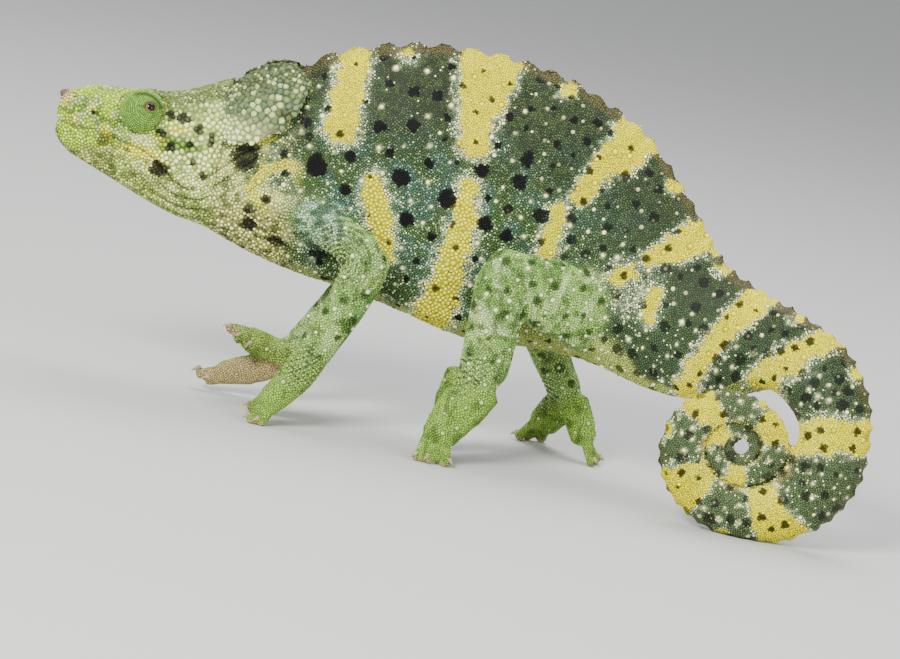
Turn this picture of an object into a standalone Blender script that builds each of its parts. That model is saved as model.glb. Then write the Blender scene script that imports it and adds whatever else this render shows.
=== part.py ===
"""Meller's chameleon, life size: walking on flat ground with one forefoot raised.

The head points to -X and the animal's left side faces -Y. Lengths below are in
millimetres; the meshes are made in metres. Every piece keeps GAP to its neighbours.
"""
import math

import bmesh
import bpy
from mathutils import Vector

MM = 0.001
GAP = 0.3

# Spine stations from nape to tail root: ridge (x, z), belly (x, z), sideways y, half width.
SPINE = [
    (-106.6, 129.0, -106.6, 68.0, 0.0, 14.5),
    (-90.0, 133.0, -87.0, 61.5, 0.0, 14.2),
    (-74.0, 146.0, -65.5, 57.0, 0.0, 15.8),
    (-54.5, 154.2, -44.0, 54.5, 0.0, 17.6),
    (-33.0, 159.4, -21.5, 49.8, 0.0, 18.6),
    (-9.0, 160.6, -2.0, 45.6, 0.0, 18.9),
    (15.5, 158.6, 14.0, 44.8, 0.0, 18.4),
    (39.5, 151.2, 28.5, 46.0, -0.5, 17.0),
    (61.5, 140.0, 43.5, 46.8, -3.0, 15.2),
    (81.0, 121.0, 60.0, 45.5, -8.5, 13.4),
    (100.0, 99.5, 78.0, 42.5, -16.5, 11.9),
    (117.0, 92.0, 95.0, 43.0, -26.0, 10.9),
    (133.5, 87.5, 110.0, 49.0, -37.0, 10.1),
    (151.0, 80.0, 125.0, 57.5, -48.0, 9.5),
    (164.5, 61.5, 138.0, 48.5, -56.0, 9.1),
    (167.5, 35.5, 138.0, 35.5, -60.0, 9.0),
    (162.0, 15.5, 137.5, 27.5, -60.0, 8.4),
]
COIL_START = 15          # station where the tail enters the coil
COIL_CENTRE = (118.0, -60.0, 35.5)
# Radius of the coil's outer (ridge) and inner (belly) line at each quarter turn.
COIL_OUTER = [49.5, 35.8, 31.0, 21.0, 18.9, 14.6, 13.2, 8.9, 7.6, 6.8, 5.4, 4.4]
COIL_INNER = [20.0, 15.1, 13.7, 9.4, 8.1, 7.3, 6.0, 3.5, 2.6, 2.4, 2.1, 2.0]
COIL_HALF_WIDTH = [9.0, 7.8, 6.8, 5.5, 4.8, 3.9, 3.4, 2.7, 2.3, 1.9, 1.5, 1.0]
TAIL_TIP = COIL_START + 10.7

CREST_START = 1.1        # station where the scalloped crest begins
CREST_FADE = 0.4         # stations over which it reaches its full height
CREST_NOTCH = 0.12       # depth of the notches under the ridge line, as a share of the height
# Station along the back, length and height there of one rounded crest lobe.
CREST_LOBES = [(0.0, 12.8, 2.5), (5.0, 11.6, 2.6), (8.35, 8.6, 2.3), (12.0, 7.0, 1.7), (TAIL_TIP, 6.4, 1.3)]
TRUNK_SECTIONS_PER_LOBE = 3
TAIL_SECTIONS_PER_LOBE = 2
TAIL_ROOT = 8.35         # station where the trunk ends

# Body pieces: name, first and last station, sides of the section.
BODY_PIECES = [
    ("neck", 0.0, 1.75, 12),
    ("trunk", 1.75, TAIL_ROOT, 12),
    ("tail_1", TAIL_ROOT, 11.5, 10),
    ("tail_2", 11.5, 15.5, 10),
    ("tail_3", 15.5, 17.0, 8),
    ("tail_4", 17.0, 19.0, 8),
    ("tail_5", 19.0, 21.5, 6),
    ("tail_6", 21.5, TAIL_TIP, 6),
]

# Head stations: x, crown z, widest z, mouth z, chin z, half width.
HEAD = [
    (-174.9, 110.4, 104.5, 100.6, 94.0, 5.6),
    (-172.6, 113.0, 104.5, 100.5, 90.8, 7.6),
    (-167.5, 115.6, 104.3, 100.4, 87.2, 9.4),
    (-159.0, 117.9, 104.0, 100.2, 84.0, 11.2),
    (-149.5, 118.6, 104.0, 98.8, 80.4, 13.6),
    (-141.0, 119.4, 104.0, 97.6, 77.2, 15.4),
    (-133.5, 120.4, 103.0, 95.0, 74.4, 17.0),
    (-126.0, 122.4, 101.0, 90.0, 72.0, 18.0),
    (-119.0, 125.8, 99.0, 86.2, 70.4, 18.2),
    (-112.5, 129.2, 97.5, 84.6, 69.4, 17.6),
    (-106.95, 132.0, 96.5, 84.0, 68.2, 16.6),
]
HEAD_SQUARENESS = 2.3
SNOUT_SHRINK = 0.55      # size of the blunt end of the snout against the first station
SNOUT_LENGTH = 1.0

HORN_BASE = (-170.5, 0.0, 110.0)
HORN_TIP = (-176.8, 0.0, 111.8)
HORN_RADIUS = 2.3

TURRET_CENTRE = (-140.4, 11.6, 111.5)
TURRET_RADIUS = 8.9
TURRET_FLATTEN = 0.95
GAZE = (0.37, 0.84, 0.40)        # direction of the pupil, mirrored on the left side
FAR_TURRET_DROP = 2.4            # the head is rolled a little: the right turret sits lower
EYE_RADIUS = 3.0
EYE_DEPTH = 6.6                  # distance of the eyeball's centre from the turret's centre

LOBE_CENTRE = (-94.5, 124.4)
LOBE_LONG = 21.8
LOBE_SHORT = 13.6
LOBE_TILT = math.radians(46.0)
LOBE_THICKNESS = 3.4
LOBE_SPAN = 17.0         # length over which the flap's bends are drawn

LEG_SIDES = 8
TOE_RADIUS = 2.5
CLAW_RADIUS = 1.05
CLAW_LENGTH = 1.9
CLAW_ROOT_LIFT = 1.5     # claw root above the middle of the toe pad
CLAW_ROOT_HEIGHT = 3.0   # least height of a claw root above the ground


def material(name, colour, roughness=0.6):
    """A plain Principled material of one colour."""
    result = bpy.data.materials.new(name)
    result.use_nodes = True
    shader = result.node_tree.nodes["Principled BSDF"]
    shader.inputs["Base Color"].default_value = (*colour, 1.0)
    shader.inputs["Roughness"].default_value = roughness
    shader.inputs["Metallic"].default_value = 0.0
    return result


HIDE_GREEN = (0.10, 0.19, 0.09)
FACE_GREEN = (0.30, 0.42, 0.12)
LIMB_GREEN = (0.16, 0.32, 0.09)
CLAW_TAN = (0.35, 0.22, 0.15)
EYE_BLACK = (0.02, 0.02, 0.02)


def make_object(name, bm, colour=None, roughness=0.6):
    """Turn a bmesh into a named object with its own material."""
    bmesh.ops.recalc_face_normals(bm, faces=bm.faces)
    if bm.calc_volume(signed=True) < 0.0:
        bmesh.ops.reverse_faces(bm, faces=bm.faces)
    mesh = bpy.data.meshes.new(name)
    bm.to_mesh(mesh)
    bm.free()
    mesh.shade_smooth()
    result = bpy.data.objects.new(name, mesh)
    bpy.context.scene.collection.objects.link(result)
    if colour:
        mesh.materials.append(material(name, colour, roughness))
    return result


def loft(name, rings, colour=None):
    """A closed body through rings of points, with flat ends."""
    bm = bmesh.new()
    loops = [[bm.verts.new(point * MM) for point in ring] for ring in rings]
    for near, far in zip(loops, loops[1:]):
        for i in range(len(near)):
            j = (i + 1) % len(near)
            bm.faces.new((near[i], near[j], far[j], far[i]))
    bm.faces.new(loops[0])
    bm.faces.new(loops[-1])
    return make_object(name, bm, colour)


def boolean(body, tool, operation="DIFFERENCE"):
    """Cut the tool from the body, or join it on, and remove the tool."""
    modifier = body.modifiers.new("boolean", "BOOLEAN")
    modifier.operation = operation
    modifier.object = tool
    evaluated = body.evaluated_get(bpy.context.evaluated_depsgraph_get())
    result = bpy.data.meshes.new_from_object(evaluated)
    materials = list(body.data.materials)
    body.modifiers.clear()
    body.data = result
    result.materials.clear()
    for item in materials:
        result.materials.append(item)
    result.polygons.foreach_set("material_index", [0] * len(result.polygons))
    bpy.data.objects.remove(tool)
    drop_crumbs(result)


def drop_crumbs(mesh):
    """Keep only the largest connected body of a mesh after a cut."""
    bm = bmesh.new()
    bm.from_mesh(mesh)
    unseen = set(bm.verts)
    bodies = []
    while unseen:
        edge_of_body = [unseen.pop()]
        body = []
        while edge_of_body:
            vertex = edge_of_body.pop()
            body.append(vertex)
            linked = [edge.other_vert(vertex) for edge in vertex.link_edges]
            fresh = [other for other in linked if other in unseen]
            unseen.difference_update(fresh)
            edge_of_body.extend(fresh)
        bodies.append(body)
    bodies.sort(key=len)
    for body in bodies[:-1]:
        bmesh.ops.delete(bm, geom=body, context="VERTS")
    bm.to_mesh(mesh)
    bm.free()


def smooth(table, place):
    """Catmull-Rom value of a table of numbers or tuples at a fractional index."""
    last = len(table) - 1
    i = min(int(place), last - 1)
    t = place - i
    rows = [table[min(max(i + k, 0), last)] for k in (-1, 0, 1, 2)]
    if not isinstance(rows[0], tuple):
        rows = [(row,) for row in rows]
    values = []
    for a, b, c, d in zip(*rows):
        values.append(b + 0.5 * t * (c - a + t * (2 * a - 5 * b + 4 * c - d + t * (3 * (b - c) + d - a))))
    return values if len(values) > 1 else values[0]


def spine_points(place):
    """Ridge point, belly point and half width at a station of the spine."""
    if place <= COIL_START:
        rx, rz, bx, bz, y, half = smooth(SPINE, place)
        return Vector((rx, y, rz)), Vector((bx, y, bz)), half
    quarter = place - COIL_START
    angle = -0.5 * math.pi * quarter
    centre = Vector(COIL_CENTRE)
    spoke = Vector((math.cos(angle), 0.0, math.sin(angle)))
    outer = smooth(COIL_OUTER, quarter)
    inner = smooth(COIL_INNER, quarter)
    return centre + outer * spoke, centre + inner * spoke, smooth(COIL_HALF_WIDTH, quarter)


def body_ring(place, sides, crest=0.0, grow=0.0):
    """One section of neck, trunk or tail: a roof-shaped top over a rounded belly."""
    ridge, belly, half = spine_points(place)
    step = 0.02
    ahead = sum(spine_points(min(place + step, TAIL_TIP))[:2], Vector())
    behind = sum(spine_points(max(place - step, 0.0))[:2], Vector())
    up = (ridge - belly).normalized()
    side = up.cross(ahead - behind).normalized()
    tail_share = min(max((place - 7.0) / 4.0, 0.0), 1.0)
    nape_share = min(max((2.5 - place) / 2.5, 0.0), 1.0)
    widest = 0.43 + 0.07 * tail_share
    roof = 1.22 - 0.30 * tail_share - 0.30 * nape_share
    keel = 0.80 + 0.05 * tail_share
    centre = belly + widest * (ridge - belly)
    rise = (ridge - centre).length + grow + crest
    drop = (centre - belly).length + grow
    ring = []
    for i in range(sides):
        angle = 0.5 * math.pi + 2.0 * math.pi * i / sides
        c, s = math.cos(angle), math.sin(angle)
        out = math.copysign(abs(c) ** (roof if s > 0 else keel), c) if abs(c) > 1e-9 else 0.0
        ring.append(centre + side * out * (half + grow) + up * s * (rise if s > 0 else drop))
    return ring


def crest_lobe(place):
    """Length and height of a crest lobe at a station; lobes shorten with the tail's thickness."""
    for (low, *first), (high, *last) in zip(CREST_LOBES, CREST_LOBES[1:]):
        if place <= high:
            t = (place - low) / (high - low)
            length, height = (a + (b - a) * t for a, b in zip(first, last))
            break
    ridge, belly, _ = spine_points(place)
    return length * min(1.0, (ridge - belly).length / 30.0) ** 0.25, height


def ridge_places(first, last, sections):
    """Stations (place, crest height from 0 to 1) along the ridge, a few to each lobe."""
    places = [(first, 0.0)]
    phase = 0.0
    fine = 0.005
    place = first
    while place + fine < last:
        here = spine_points(place)[0]
        phase += (spine_points(place + fine)[0] - here).length / crest_lobe(place)[0]
        place += fine
        if phase * sections >= len(places):
            places.append((place, abs(math.sin(math.pi * phase))))
    if last - places[-1][0] < 0.06:
        places.pop()
    places.append((last, 0.0))
    return places


def end_inset(place):
    """How far to draw back from a joint so that both edges keep half the gap."""
    step = 0.01
    ridge, belly, _ = spine_points(place)
    ridge_on, belly_on, _ = spine_points(place + step)
    slowest = min((ridge_on - ridge).length, (belly_on - belly).length) / step
    return 0.5 * GAP / slowest


def body_piece(name, first, last, sides, grow=0.0):
    """A length of the body between two stations, with its share of the crest."""
    start = first if first == 0.0 else first + end_inset(first)
    stop = last if last == TAIL_TIP else last - end_inset(last)
    sections = TRUNK_SECTIONS_PER_LOBE if first < TAIL_ROOT else TAIL_SECTIONS_PER_LOBE
    rings = []
    for place, share in ridge_places(start, stop, sections):
        fade = min(max((place - CREST_START) / CREST_FADE, 0.0), 1.0)
        fade *= min(max((COIL_START + 5.0 - place) / 3.0, 0.15), 1.0)
        rings.append(body_ring(place, sides, fade * crest_lobe(place)[1] * (share - CREST_NOTCH), grow))
    return loft(name if not grow else name + "_tool", rings, None if grow else HIDE_GREEN)


def head_side(station, z):
    """Half width of the head at a height of one station."""
    _, crown, widest, _, chin, half = station
    reach = (crown - widest) if z > widest else (widest - chin)
    share = min(abs(z - widest) / reach, 1.0)
    return half * (1.0 - share ** HEAD_SQUARENESS) ** (1.0 / HEAD_SQUARENESS)


def head_ring(station, low, high, levels):
    """Section of the head between two heights; the crown or chin closes to a point."""
    x, crown, _, _, chin, _ = station
    right = []
    for i in range(levels):
        t = i / (levels - 1)
        z = low + (high - low) * (math.sin(0.5 * math.pi * t) if high == crown else 1 - math.cos(0.5 * math.pi * t))
        right.append((head_side(station, z), z))
    points = [Vector((x, y, z)) for y, z in right if y > 0.01]
    if high == crown:
        points.append(Vector((x, 0.0, crown)))
    points += [Vector((x, -y, z)) for y, z in reversed(right) if y > 0.01]
    if low == chin:
        points.append(Vector((x, 0.0, chin)))
    return points


def shrink(ring, share, forward):
    """A smaller copy of a ring, moved along X, to round off an end."""
    middle = sum(ring, Vector()) / len(ring)
    return [middle + (point - middle) * share + Vector((forward, 0.0, 0.0)) for point in ring]


def head_and_jaw():
    """Skull with the upper lip, and the lower jaw with the throat below the mouth line."""
    skull = [head_ring(s, s[3] + 0.5 * GAP, s[1], 7) for s in HEAD]
    jaw = [head_ring(s, s[4], s[3] - 0.5 * GAP, 5) for s in HEAD]
    skull.insert(0, shrink(skull[0], SNOUT_SHRINK, -SNOUT_LENGTH))
    jaw.insert(0, shrink(jaw[0], SNOUT_SHRINK, -0.6 * SNOUT_LENGTH))
    return loft("head", skull, FACE_GREEN), loft("lower_jaw", jaw, FACE_GREEN)


def ball(name, centre, radius, axis, flatten, colour=None, segments=10, rows=7):
    """A ball, flattened along an axis through its poles."""
    bm = bmesh.new()
    bmesh.ops.create_uvsphere(bm, u_segments=segments, v_segments=rows, radius=radius * MM)
    turn = Vector(axis).to_track_quat("Z", "Y")
    for vertex in bm.verts:
        vertex.co.z *= flatten
        vertex.co = turn @ vertex.co + Vector(centre) * MM
    return make_object(name, bm, colour, 0.15)


def eyes(head):
    """Both eye turrets, let into the head, each with its small eyeball."""
    for side, sign in (("right", 1.0), ("left", -1.0)):
        drop = FAR_TURRET_DROP if side == "right" else 0.0
        centre = Vector((TURRET_CENTRE[0], sign * TURRET_CENTRE[1], TURRET_CENTRE[2] - drop))
        gaze = Vector((GAZE[0], sign * GAZE[1], GAZE[2])).normalized()
        boolean(head, ball("tool", centre, TURRET_RADIUS + GAP, gaze, TURRET_FLATTEN))
        turret = ball("eye_turret_" + side, centre, TURRET_RADIUS, gaze, TURRET_FLATTEN, FACE_GREEN)
        pupil = centre + gaze * EYE_DEPTH
        boolean(turret, ball("tool", pupil, EYE_RADIUS + GAP, gaze, 1.0, None, 8, 6))
        ball("eye_" + side, pupil, EYE_RADIUS, gaze, 1.0, EYE_BLACK, 8, 6)


def horn(head):
    """The short blunt horn on the tip of the snout."""
    base, tip = Vector(HORN_BASE), Vector(HORN_TIP)
    stations = [(base, 1.0), (base.lerp(tip, 0.5), 0.82), (base.lerp(tip, 0.85), 0.58), (tip, 0.25)]
    table = [(*point, HORN_RADIUS * share, HORN_RADIUS * share) for point, share in stations]
    piece = limb("horn", table, CLAW_TAN, 8)
    boolean(piece, head_tool(head))


def head_tool(head):
    """A copy of the head, one gap larger all round, to cut what grows from it."""
    bm = bmesh.new()
    bm.from_mesh(head.data)
    bm.normal_update()
    for vertex in bm.verts:
        vertex.co += vertex.normal * GAP * MM
    return make_object("tool", bm)


def lobe(side, sign, head):
    """One of the two ear-like flaps behind the head; its rear edge stands off the neck."""
    count = 12
    shares = (0.5, 0.85, 1.0)
    faces = []
    for outward in (1.0, -1.0):
        rings = []
        for share in shares:
            ring = []
            for i in range(count):
                angle = 2.0 * math.pi * i / count
                u = LOBE_LONG * share * math.cos(angle)
                v = LOBE_SHORT * share * math.sin(angle)
                x = LOBE_CENTRE[0] + u * math.cos(LOBE_TILT) - v * math.sin(LOBE_TILT)
                z = LOBE_CENTRE[1] + u * math.sin(LOBE_TILT) + v * math.cos(LOBE_TILT)
                thick = 0.5 * LOBE_THICKNESS * (1.0 - 0.65 * share ** 3)
                ring.append(Vector((x, sign * (lobe_middle(x, z) + outward * thick), z)))
            rings.append(ring)
        faces.append(rings)
    rings = faces[0] + faces[1][::-1]
    piece = loft("occipital_lobe_" + side, rings, FACE_GREEN)
    boolean(piece, body_piece(*BODY_PIECES[0], grow=GAP))
    boolean(piece, head_tool(head))
    return piece


def lobe_middle(x, z):
    """Distance of the flap's middle layer from the plane of symmetry."""
    height = (z - LOBE_CENTRE[1]) / LOBE_SPAN
    rear = max(0.0, (x - LOBE_CENTRE[0]) / LOBE_SPAN)
    front = max(0.0, (LOBE_CENTRE[0] - x) / LOBE_SPAN)
    return 13.4 - 6.0 * height - 2.0 * height * height + 1.8 * rear * rear - 3.0 * front * front


def limb(name, stations, colour=None, sides=LEG_SIDES, grow=0.0):
    """A limb through stations (x, y, z, half depth fore and aft, half width across)."""
    points = [Vector(station[:3]) for station in stations]
    rings = []
    for i, station in enumerate(stations):
        along = (points[min(i + 1, len(points) - 1)] - points[max(i - 1, 0)]).normalized()
        across = Vector((0.0, 1.0, 0.0)) - along * along.y
        if across.length < 0.3:
            across = Vector((1.0, 0.0, 0.0)) - along * along.x
        across.normalize()
        deep = along.cross(across)
        ring = []
        for k in range(sides):
            angle = 2.0 * math.pi * k / sides
            ring.append(points[i] + deep * math.cos(angle) * (station[3] + grow)
                        + across * math.sin(angle) * (station[4] + grow))
        rings.append(ring)
    first = (points[1] - points[0]).normalized()
    last = (points[-1] - points[-2]).normalized()
    reach = 0.45 * min(stations[0][3:]) + grow, 0.45 * min(stations[-1][3:]) + grow
    rings.insert(0, [points[0] + (p - points[0]) * 0.6 - first * reach[0] for p in rings[0]])
    rings.append([points[-1] + (p - points[-1]) * 0.6 + last * reach[1] for p in rings[-1]])
    return loft(name, rings, colour)


def floor_tool():
    """A slab below the ground, which trims whatever stands on it to small flats."""
    bm = bmesh.new()
    bmesh.ops.create_cube(bm, size=1.0)
    for vertex in bm.verts:
        vertex.co.z -= 0.5
    return make_object("tool", bm)


# Legs: stations of the upper and lower limb and of both toe bundles, then the toes
# (root, tip) of each bundle. Forefeet have three inner and two outer toes, hind feet
# two inner and three outer.
LEGS = {
    "front_left": {
        "upper": [(-72, -8, 86, 8.0, 6.0), (-62, -15.5, 82.5, 8.6, 7.2), (-51, -23.5, 79, 8.4, 7.2),
                  (-41, -28.5, 75, 8.8, 7.2)],
        "lower": [(-38.8, -28.5, 75.5, 8.8, 7.2), (-41.2, -28.5, 66, 9.4, 7.4), (-44.6, -28, 55, 8.8, 7.0),
                  (-49.6, -27.5, 43, 8.3, 6.6), (-54.5, -26.5, 32, 7.9, 6.4)],
        "outer": [(-55, -27, 30, 7.4, 5.6), (-59, -29, 21.5, 7.2, 4.8), (-63.8, -31, 14, 6.2, 4.2),
                  (-68.4, -32.5, 8, 5.0, 3.6)],
        "inner": [(-55.5, -23.5, 29.5, 6.8, 5.2), (-59.5, -18.5, 20.5, 6.6, 4.6), (-64, -14.5, 13, 6.2, 4.2),
                  (-68.5, -14, 7.5, 5.4, 3.8)],
        "outer_toes": [((-69.8, -32.5, 8), (-73.6, -33.1, 1.0)), ((-66.6, -33.3, 7), (-69.4, -34.3, 1.0))],
        "inner_toes": [((-70.5, -13, 8), (-75.5, -11.5, 1.4)), ((-68.5, -12.5, 7), (-72, -8, 1.4)),
                       ((-66, -13, 6), (-67.5, -8.2, 1.4))],
    },
    "front_right": {
        "upper": [(-72, 9, 86, 9.5, 6.5), (-62, 14.5, 80, 9.5, 7.5), (-51, 20.5, 70, 9.0, 7.2),
                  (-44, 23.5, 62, 8.6, 7.0)],
        "lower": [(-41.5, 23.5, 60, 8.2, 7.0), (-47, 22.5, 50, 8.2, 6.8), (-54, 20.5, 39, 7.4, 6.2),
                  (-61, 18.5, 28, 6.6, 5.8), (-65.5, 17, 21, 6.6, 5.6)],
        "outer": [(-66, 18, 19, 6.2, 4.4), (-73, 17.5, 14.5, 6.4, 3.6), (-82, 15.5, 11, 6.6, 3.2),
                  (-91.5, 15, 8.0, 5.2, 3.0)],
        "inner": [(-66.5, 14, 20.5, 6.4, 5.0), (-73, 14, 22.2, 5.8, 5.0), (-79, 12.5, 24, 5.8, 4.8),
                  (-83.5, 11.5, 25.6, 5.2, 4.2)],
        "outer_toes": [((-92, 14.5, 9), (-100.5, 12.5, 6.2)), ((-91, 14, 6), (-96.2, 12, 4.4))],
        "inner_toes": [((-85, 11, 28), (-91.4, 7, 28.6)), ((-83, 10, 25.5), (-87.2, 4.6, 25.4)),
                       ((-80, 10, 22.8), (-82, 4, 22.4))],
    },
    "hind_left": {
        "upper": [(63, -6, 62, 15.0, 4.0), (54, -13, 66, 16.5, 6.4), (44, -17.5, 70, 16.0, 8.0),
                  (34, -23.5, 73, 15.6, 8.6), (25, -28, 76, 14.0, 8.6), (18.5, -30, 79.5, 11.5, 8.2)],
        "lower": [(15, -30.5, 86, 7.4, 7.0), (14.2, -31, 76, 11.4, 8.6), (14.2, -31.5, 61, 11.0, 8.2),
                  (14, -31.5, 47, 10.6, 7.6), (13.6, -31.5, 37, 10.2, 7.2)],
        "outer": [(14.2, -32.5, 33, 9.8, 5.8), (9.0, -34.5, 25, 10.2, 5.4), (4.2, -37, 17, 8.8, 4.8),
                  (0.8, -39, 10, 7.4, 4.2)],
        "inner": [(11, -25.5, 33, 7.0, 5.0), (3.8, -19, 31.6, 6.4, 5.0), (2.2, -14.5, 22, 5.6, 4.4),
                  (2.4, -14, 12, 5.0, 4.0)],
        "outer_toes": [((-3.2, -39, 9.5), (-4.8, -40, 0.7)), ((0.6, -39.7, 9), (-0.2, -40.7, 0.7)),
                       ((4.6, -39.5, 9), (6.2, -40.7, 0.7))],
        "inner_toes": [((0.6, -13.4, 10), (-1.6, -11, 0.7)), ((4.4, -13, 10), (4.2, -10, 0.7))],
    },
    "hind_right": {
        "upper": [(58, 4, 64, 17.0, 6.0), (50, 14, 66, 15.5, 7.6), (41, 19.5, 66, 12.6, 8.2),
                  (33, 26.5, 64, 10.4, 8.0)],
        "lower": [(29.5, 28.5, 66, 7.4, 7.0), (31.5, 29, 57, 9.6, 7.8), (37.5, 29.5, 45, 8.8, 7.2),
                  (45, 30, 33, 7.8, 6.6), (50, 30.5, 26, 7.4, 6.2)],
        "outer": [(50, 32, 23, 7.4, 5.4), (46.5, 35.5, 15.5, 7.6, 4.8), (43, 39, 9, 6.8, 4.4)],
        "inner": [(53.5, 28.5, 23, 7.0, 5.0), (58, 25, 15.5, 6.4, 4.8), (61, 22.5, 9.5, 5.6, 4.4)],
        "outer_toes": [((39.5, 39.5, 8.5), (34.5, 40.5, 1.4)), ((41.5, 41.3, 7.5), (38, 45.1, 1.4)),
                       ((45, 41.5, 7), (44.2, 46.5, 1.4))],
        "inner_toes": [((62.5, 23.5, 8), (67.5, 24, 1.4)), ((62.5, 20.5, 8), (66, 16.9, 1.4))],
    },
}


def toe_path(root, tip):
    """Stations of one toe, slightly thinner at the pad."""
    root, tip = Vector(root), Vector(tip)
    shares = ((0.0, 1.0), (1.0, 0.94))
    return [(*root.lerp(tip, t), TOE_RADIUS * k, TOE_RADIUS * k) for t, k in shares]


def bundle(name, leg, part, colour=None, grow=0.0):
    """One half of a grasping foot: a fleshy mitten that ends in two or three toes."""
    piece = limb(name, leg[part], colour, LEG_SIDES, grow)
    for root, tip in leg[part + "_toes"]:
        path = [(*s[:3], s[3] + grow, s[4] + grow) for s in toe_path(root, tip)]
        boolean(piece, limb("toe", path, None, 6), "UNION")
    return piece


def claw(name, root, tip, foot_tool):
    """A short hooked claw that leaves the toe above its pad."""
    root, tip = Vector(root), Vector(tip)
    along = (tip - root).normalized()
    flat = Vector((along.x, along.y, 0.0))
    ahead = (flat.normalized() + along * 0.2).normalized()
    start = tip + Vector((0.0, 0.0, max(CLAW_ROOT_LIFT, CLAW_ROOT_HEIGHT - tip.z))) + ahead * 0.6
    shares = ((0.0, 1.0, 0.0), (0.6, 0.75, -0.3), (1.0, 0.35, -1.5))
    reach = CLAW_LENGTH + TOE_RADIUS
    path = [(*(start + ahead * reach * t + Vector((0.0, 0.0, fall))), CLAW_RADIUS * k, CLAW_RADIUS * k)
            for t, k, fall in shares]
    piece = limb(name, path, CLAW_TAN, 4)
    boolean(piece, foot_tool)


def leg(name, spec, trunk_pieces):
    """Upper and lower limb, the two toe bundles and the five claws of one leg."""
    upper = limb("leg_" + name + "_upper", spec["upper"], LIMB_GREEN)
    for trunk in trunk_pieces:
        boolean(upper, body_piece(*trunk, grow=GAP))
    boolean(upper, limb("tool", spec["lower"], None, LEG_SIDES, GAP))
    lower = limb("leg_" + name + "_lower", spec["lower"], LIMB_GREEN)
    for part in ("inner", "outer"):
        foot = bundle("foot_" + name + "_" + part, spec, part, LIMB_GREEN)
        boolean(foot, limb("tool", spec["lower"], None, LEG_SIDES, GAP))
        if part == "outer":
            boolean(foot, bundle("tool", spec, "inner", None, GAP))
        boolean(foot, floor_tool())
        for number, (root, tip) in enumerate(spec[part + "_toes"], 1):
            tool = bundle("tool", spec, part, None, GAP)
            claw("claw_" + name + "_" + part + "_" + str(number), root, tip, tool)
    return upper, lower


def centre_on_origin():
    """Move the whole animal so that the middle of its footprint is the origin."""
    pieces = [item for item in bpy.context.scene.objects if item.type == "MESH"]
    corners = [vertex.co for item in pieces for vertex in item.data.vertices]
    middle_x = 0.5 * (min(c.x for c in corners) + max(c.x for c in corners))
    middle_y = 0.5 * (min(c.y for c in corners) + max(c.y for c in corners))
    for item in pieces:
        item.location = (-middle_x, -middle_y, 0.0)


def main():
    for item in list(bpy.data.objects):
        bpy.data.objects.remove(item)
    head, _ = head_and_jaw()
    eyes(head)
    horn(head)
    lobe("right", 1.0, head)
    lobe("left", -1.0, head)
    for piece in BODY_PIECES:
        body_piece(*piece)
    boolean(bpy.data.objects["tail_3"], floor_tool())
    neck, trunk, tail_root = BODY_PIECES[:3]
    leg("front_left", LEGS["front_left"], [neck, trunk])
    leg("front_right", LEGS["front_right"], [neck, trunk])
    leg("hind_left", LEGS["hind_left"], [trunk, tail_root])
    leg("hind_right", LEGS["hind_right"], [trunk, tail_root])
    centre_on_origin()


main()
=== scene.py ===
"""Looks of the Meller's chameleon: one skin over the flesh, a coat of solid scales, eyes, horn and claws.

Lengths are in millimetres until a mesh is made, in metres. On the body, u is the station (0 at the nape,
TAIL_TIP at the tail's tip) and h the height (0 at the belly, 1 at the ridge). An own or flat place is one in
the space the solids were drawn in. The head points to -X, the animal's left side to -Y and the camera.
"""
import math
from types import SimpleNamespace

import bmesh
import bpy
import numpy as np
from mathutils import Matrix, Vector
from mathutils.bvhtree import BVHTree
from mathutils.kdtree import KDTree


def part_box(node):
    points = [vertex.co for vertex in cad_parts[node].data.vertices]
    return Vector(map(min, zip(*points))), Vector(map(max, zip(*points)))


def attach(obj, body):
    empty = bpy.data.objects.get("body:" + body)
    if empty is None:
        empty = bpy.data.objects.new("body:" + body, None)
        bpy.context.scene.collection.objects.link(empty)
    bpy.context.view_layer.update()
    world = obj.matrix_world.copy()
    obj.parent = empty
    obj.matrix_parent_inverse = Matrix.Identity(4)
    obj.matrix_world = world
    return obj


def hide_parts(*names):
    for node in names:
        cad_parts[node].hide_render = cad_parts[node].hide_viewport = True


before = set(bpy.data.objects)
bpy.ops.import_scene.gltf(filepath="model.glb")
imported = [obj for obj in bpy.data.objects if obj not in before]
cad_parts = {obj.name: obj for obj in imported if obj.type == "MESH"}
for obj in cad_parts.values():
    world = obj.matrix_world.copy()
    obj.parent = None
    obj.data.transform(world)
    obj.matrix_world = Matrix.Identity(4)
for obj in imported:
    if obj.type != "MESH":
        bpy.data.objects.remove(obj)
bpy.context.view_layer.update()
MM = 0.001
SEED = 7

# ---------------------------------------------------------------- the body's own coordinates
# The solids' stations from the nape back: ridge (x, z), belly (x, z), sideways y.
SPINE = np.array([
    (-106.6, 129.0, -106.6, 68.0, 0.0),
    (-90.0, 133.0, -87.0, 61.5, 0.0),
    (-74.0, 146.0, -65.5, 57.0, 0.0),
    (-54.5, 154.2, -44.0, 54.5, 0.0),
    (-33.0, 159.4, -21.5, 49.8, 0.0),
    (-9.0, 160.6, -2.0, 45.6, 0.0),
    (15.5, 158.6, 14.0, 44.8, 0.0),
    (39.5, 151.2, 28.5, 46.0, -0.5),
    (61.5, 140.0, 43.5, 46.8, -3.0),
    (81.0, 121.0, 60.0, 45.5, -8.5),
    (100.0, 99.5, 78.0, 42.5, -16.5),
    (117.0, 92.0, 95.0, 43.0, -26.0),
    (133.5, 87.5, 110.0, 49.0, -37.0),
    (151.0, 80.0, 125.0, 57.5, -48.0),
    (164.5, 61.5, 138.0, 48.5, -56.0),
    (167.5, 35.5, 138.0, 35.5, -60.0),
])
COIL_START = 15.0
COIL_CENTRE = np.array([118.0, -60.0, 35.5])
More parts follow.
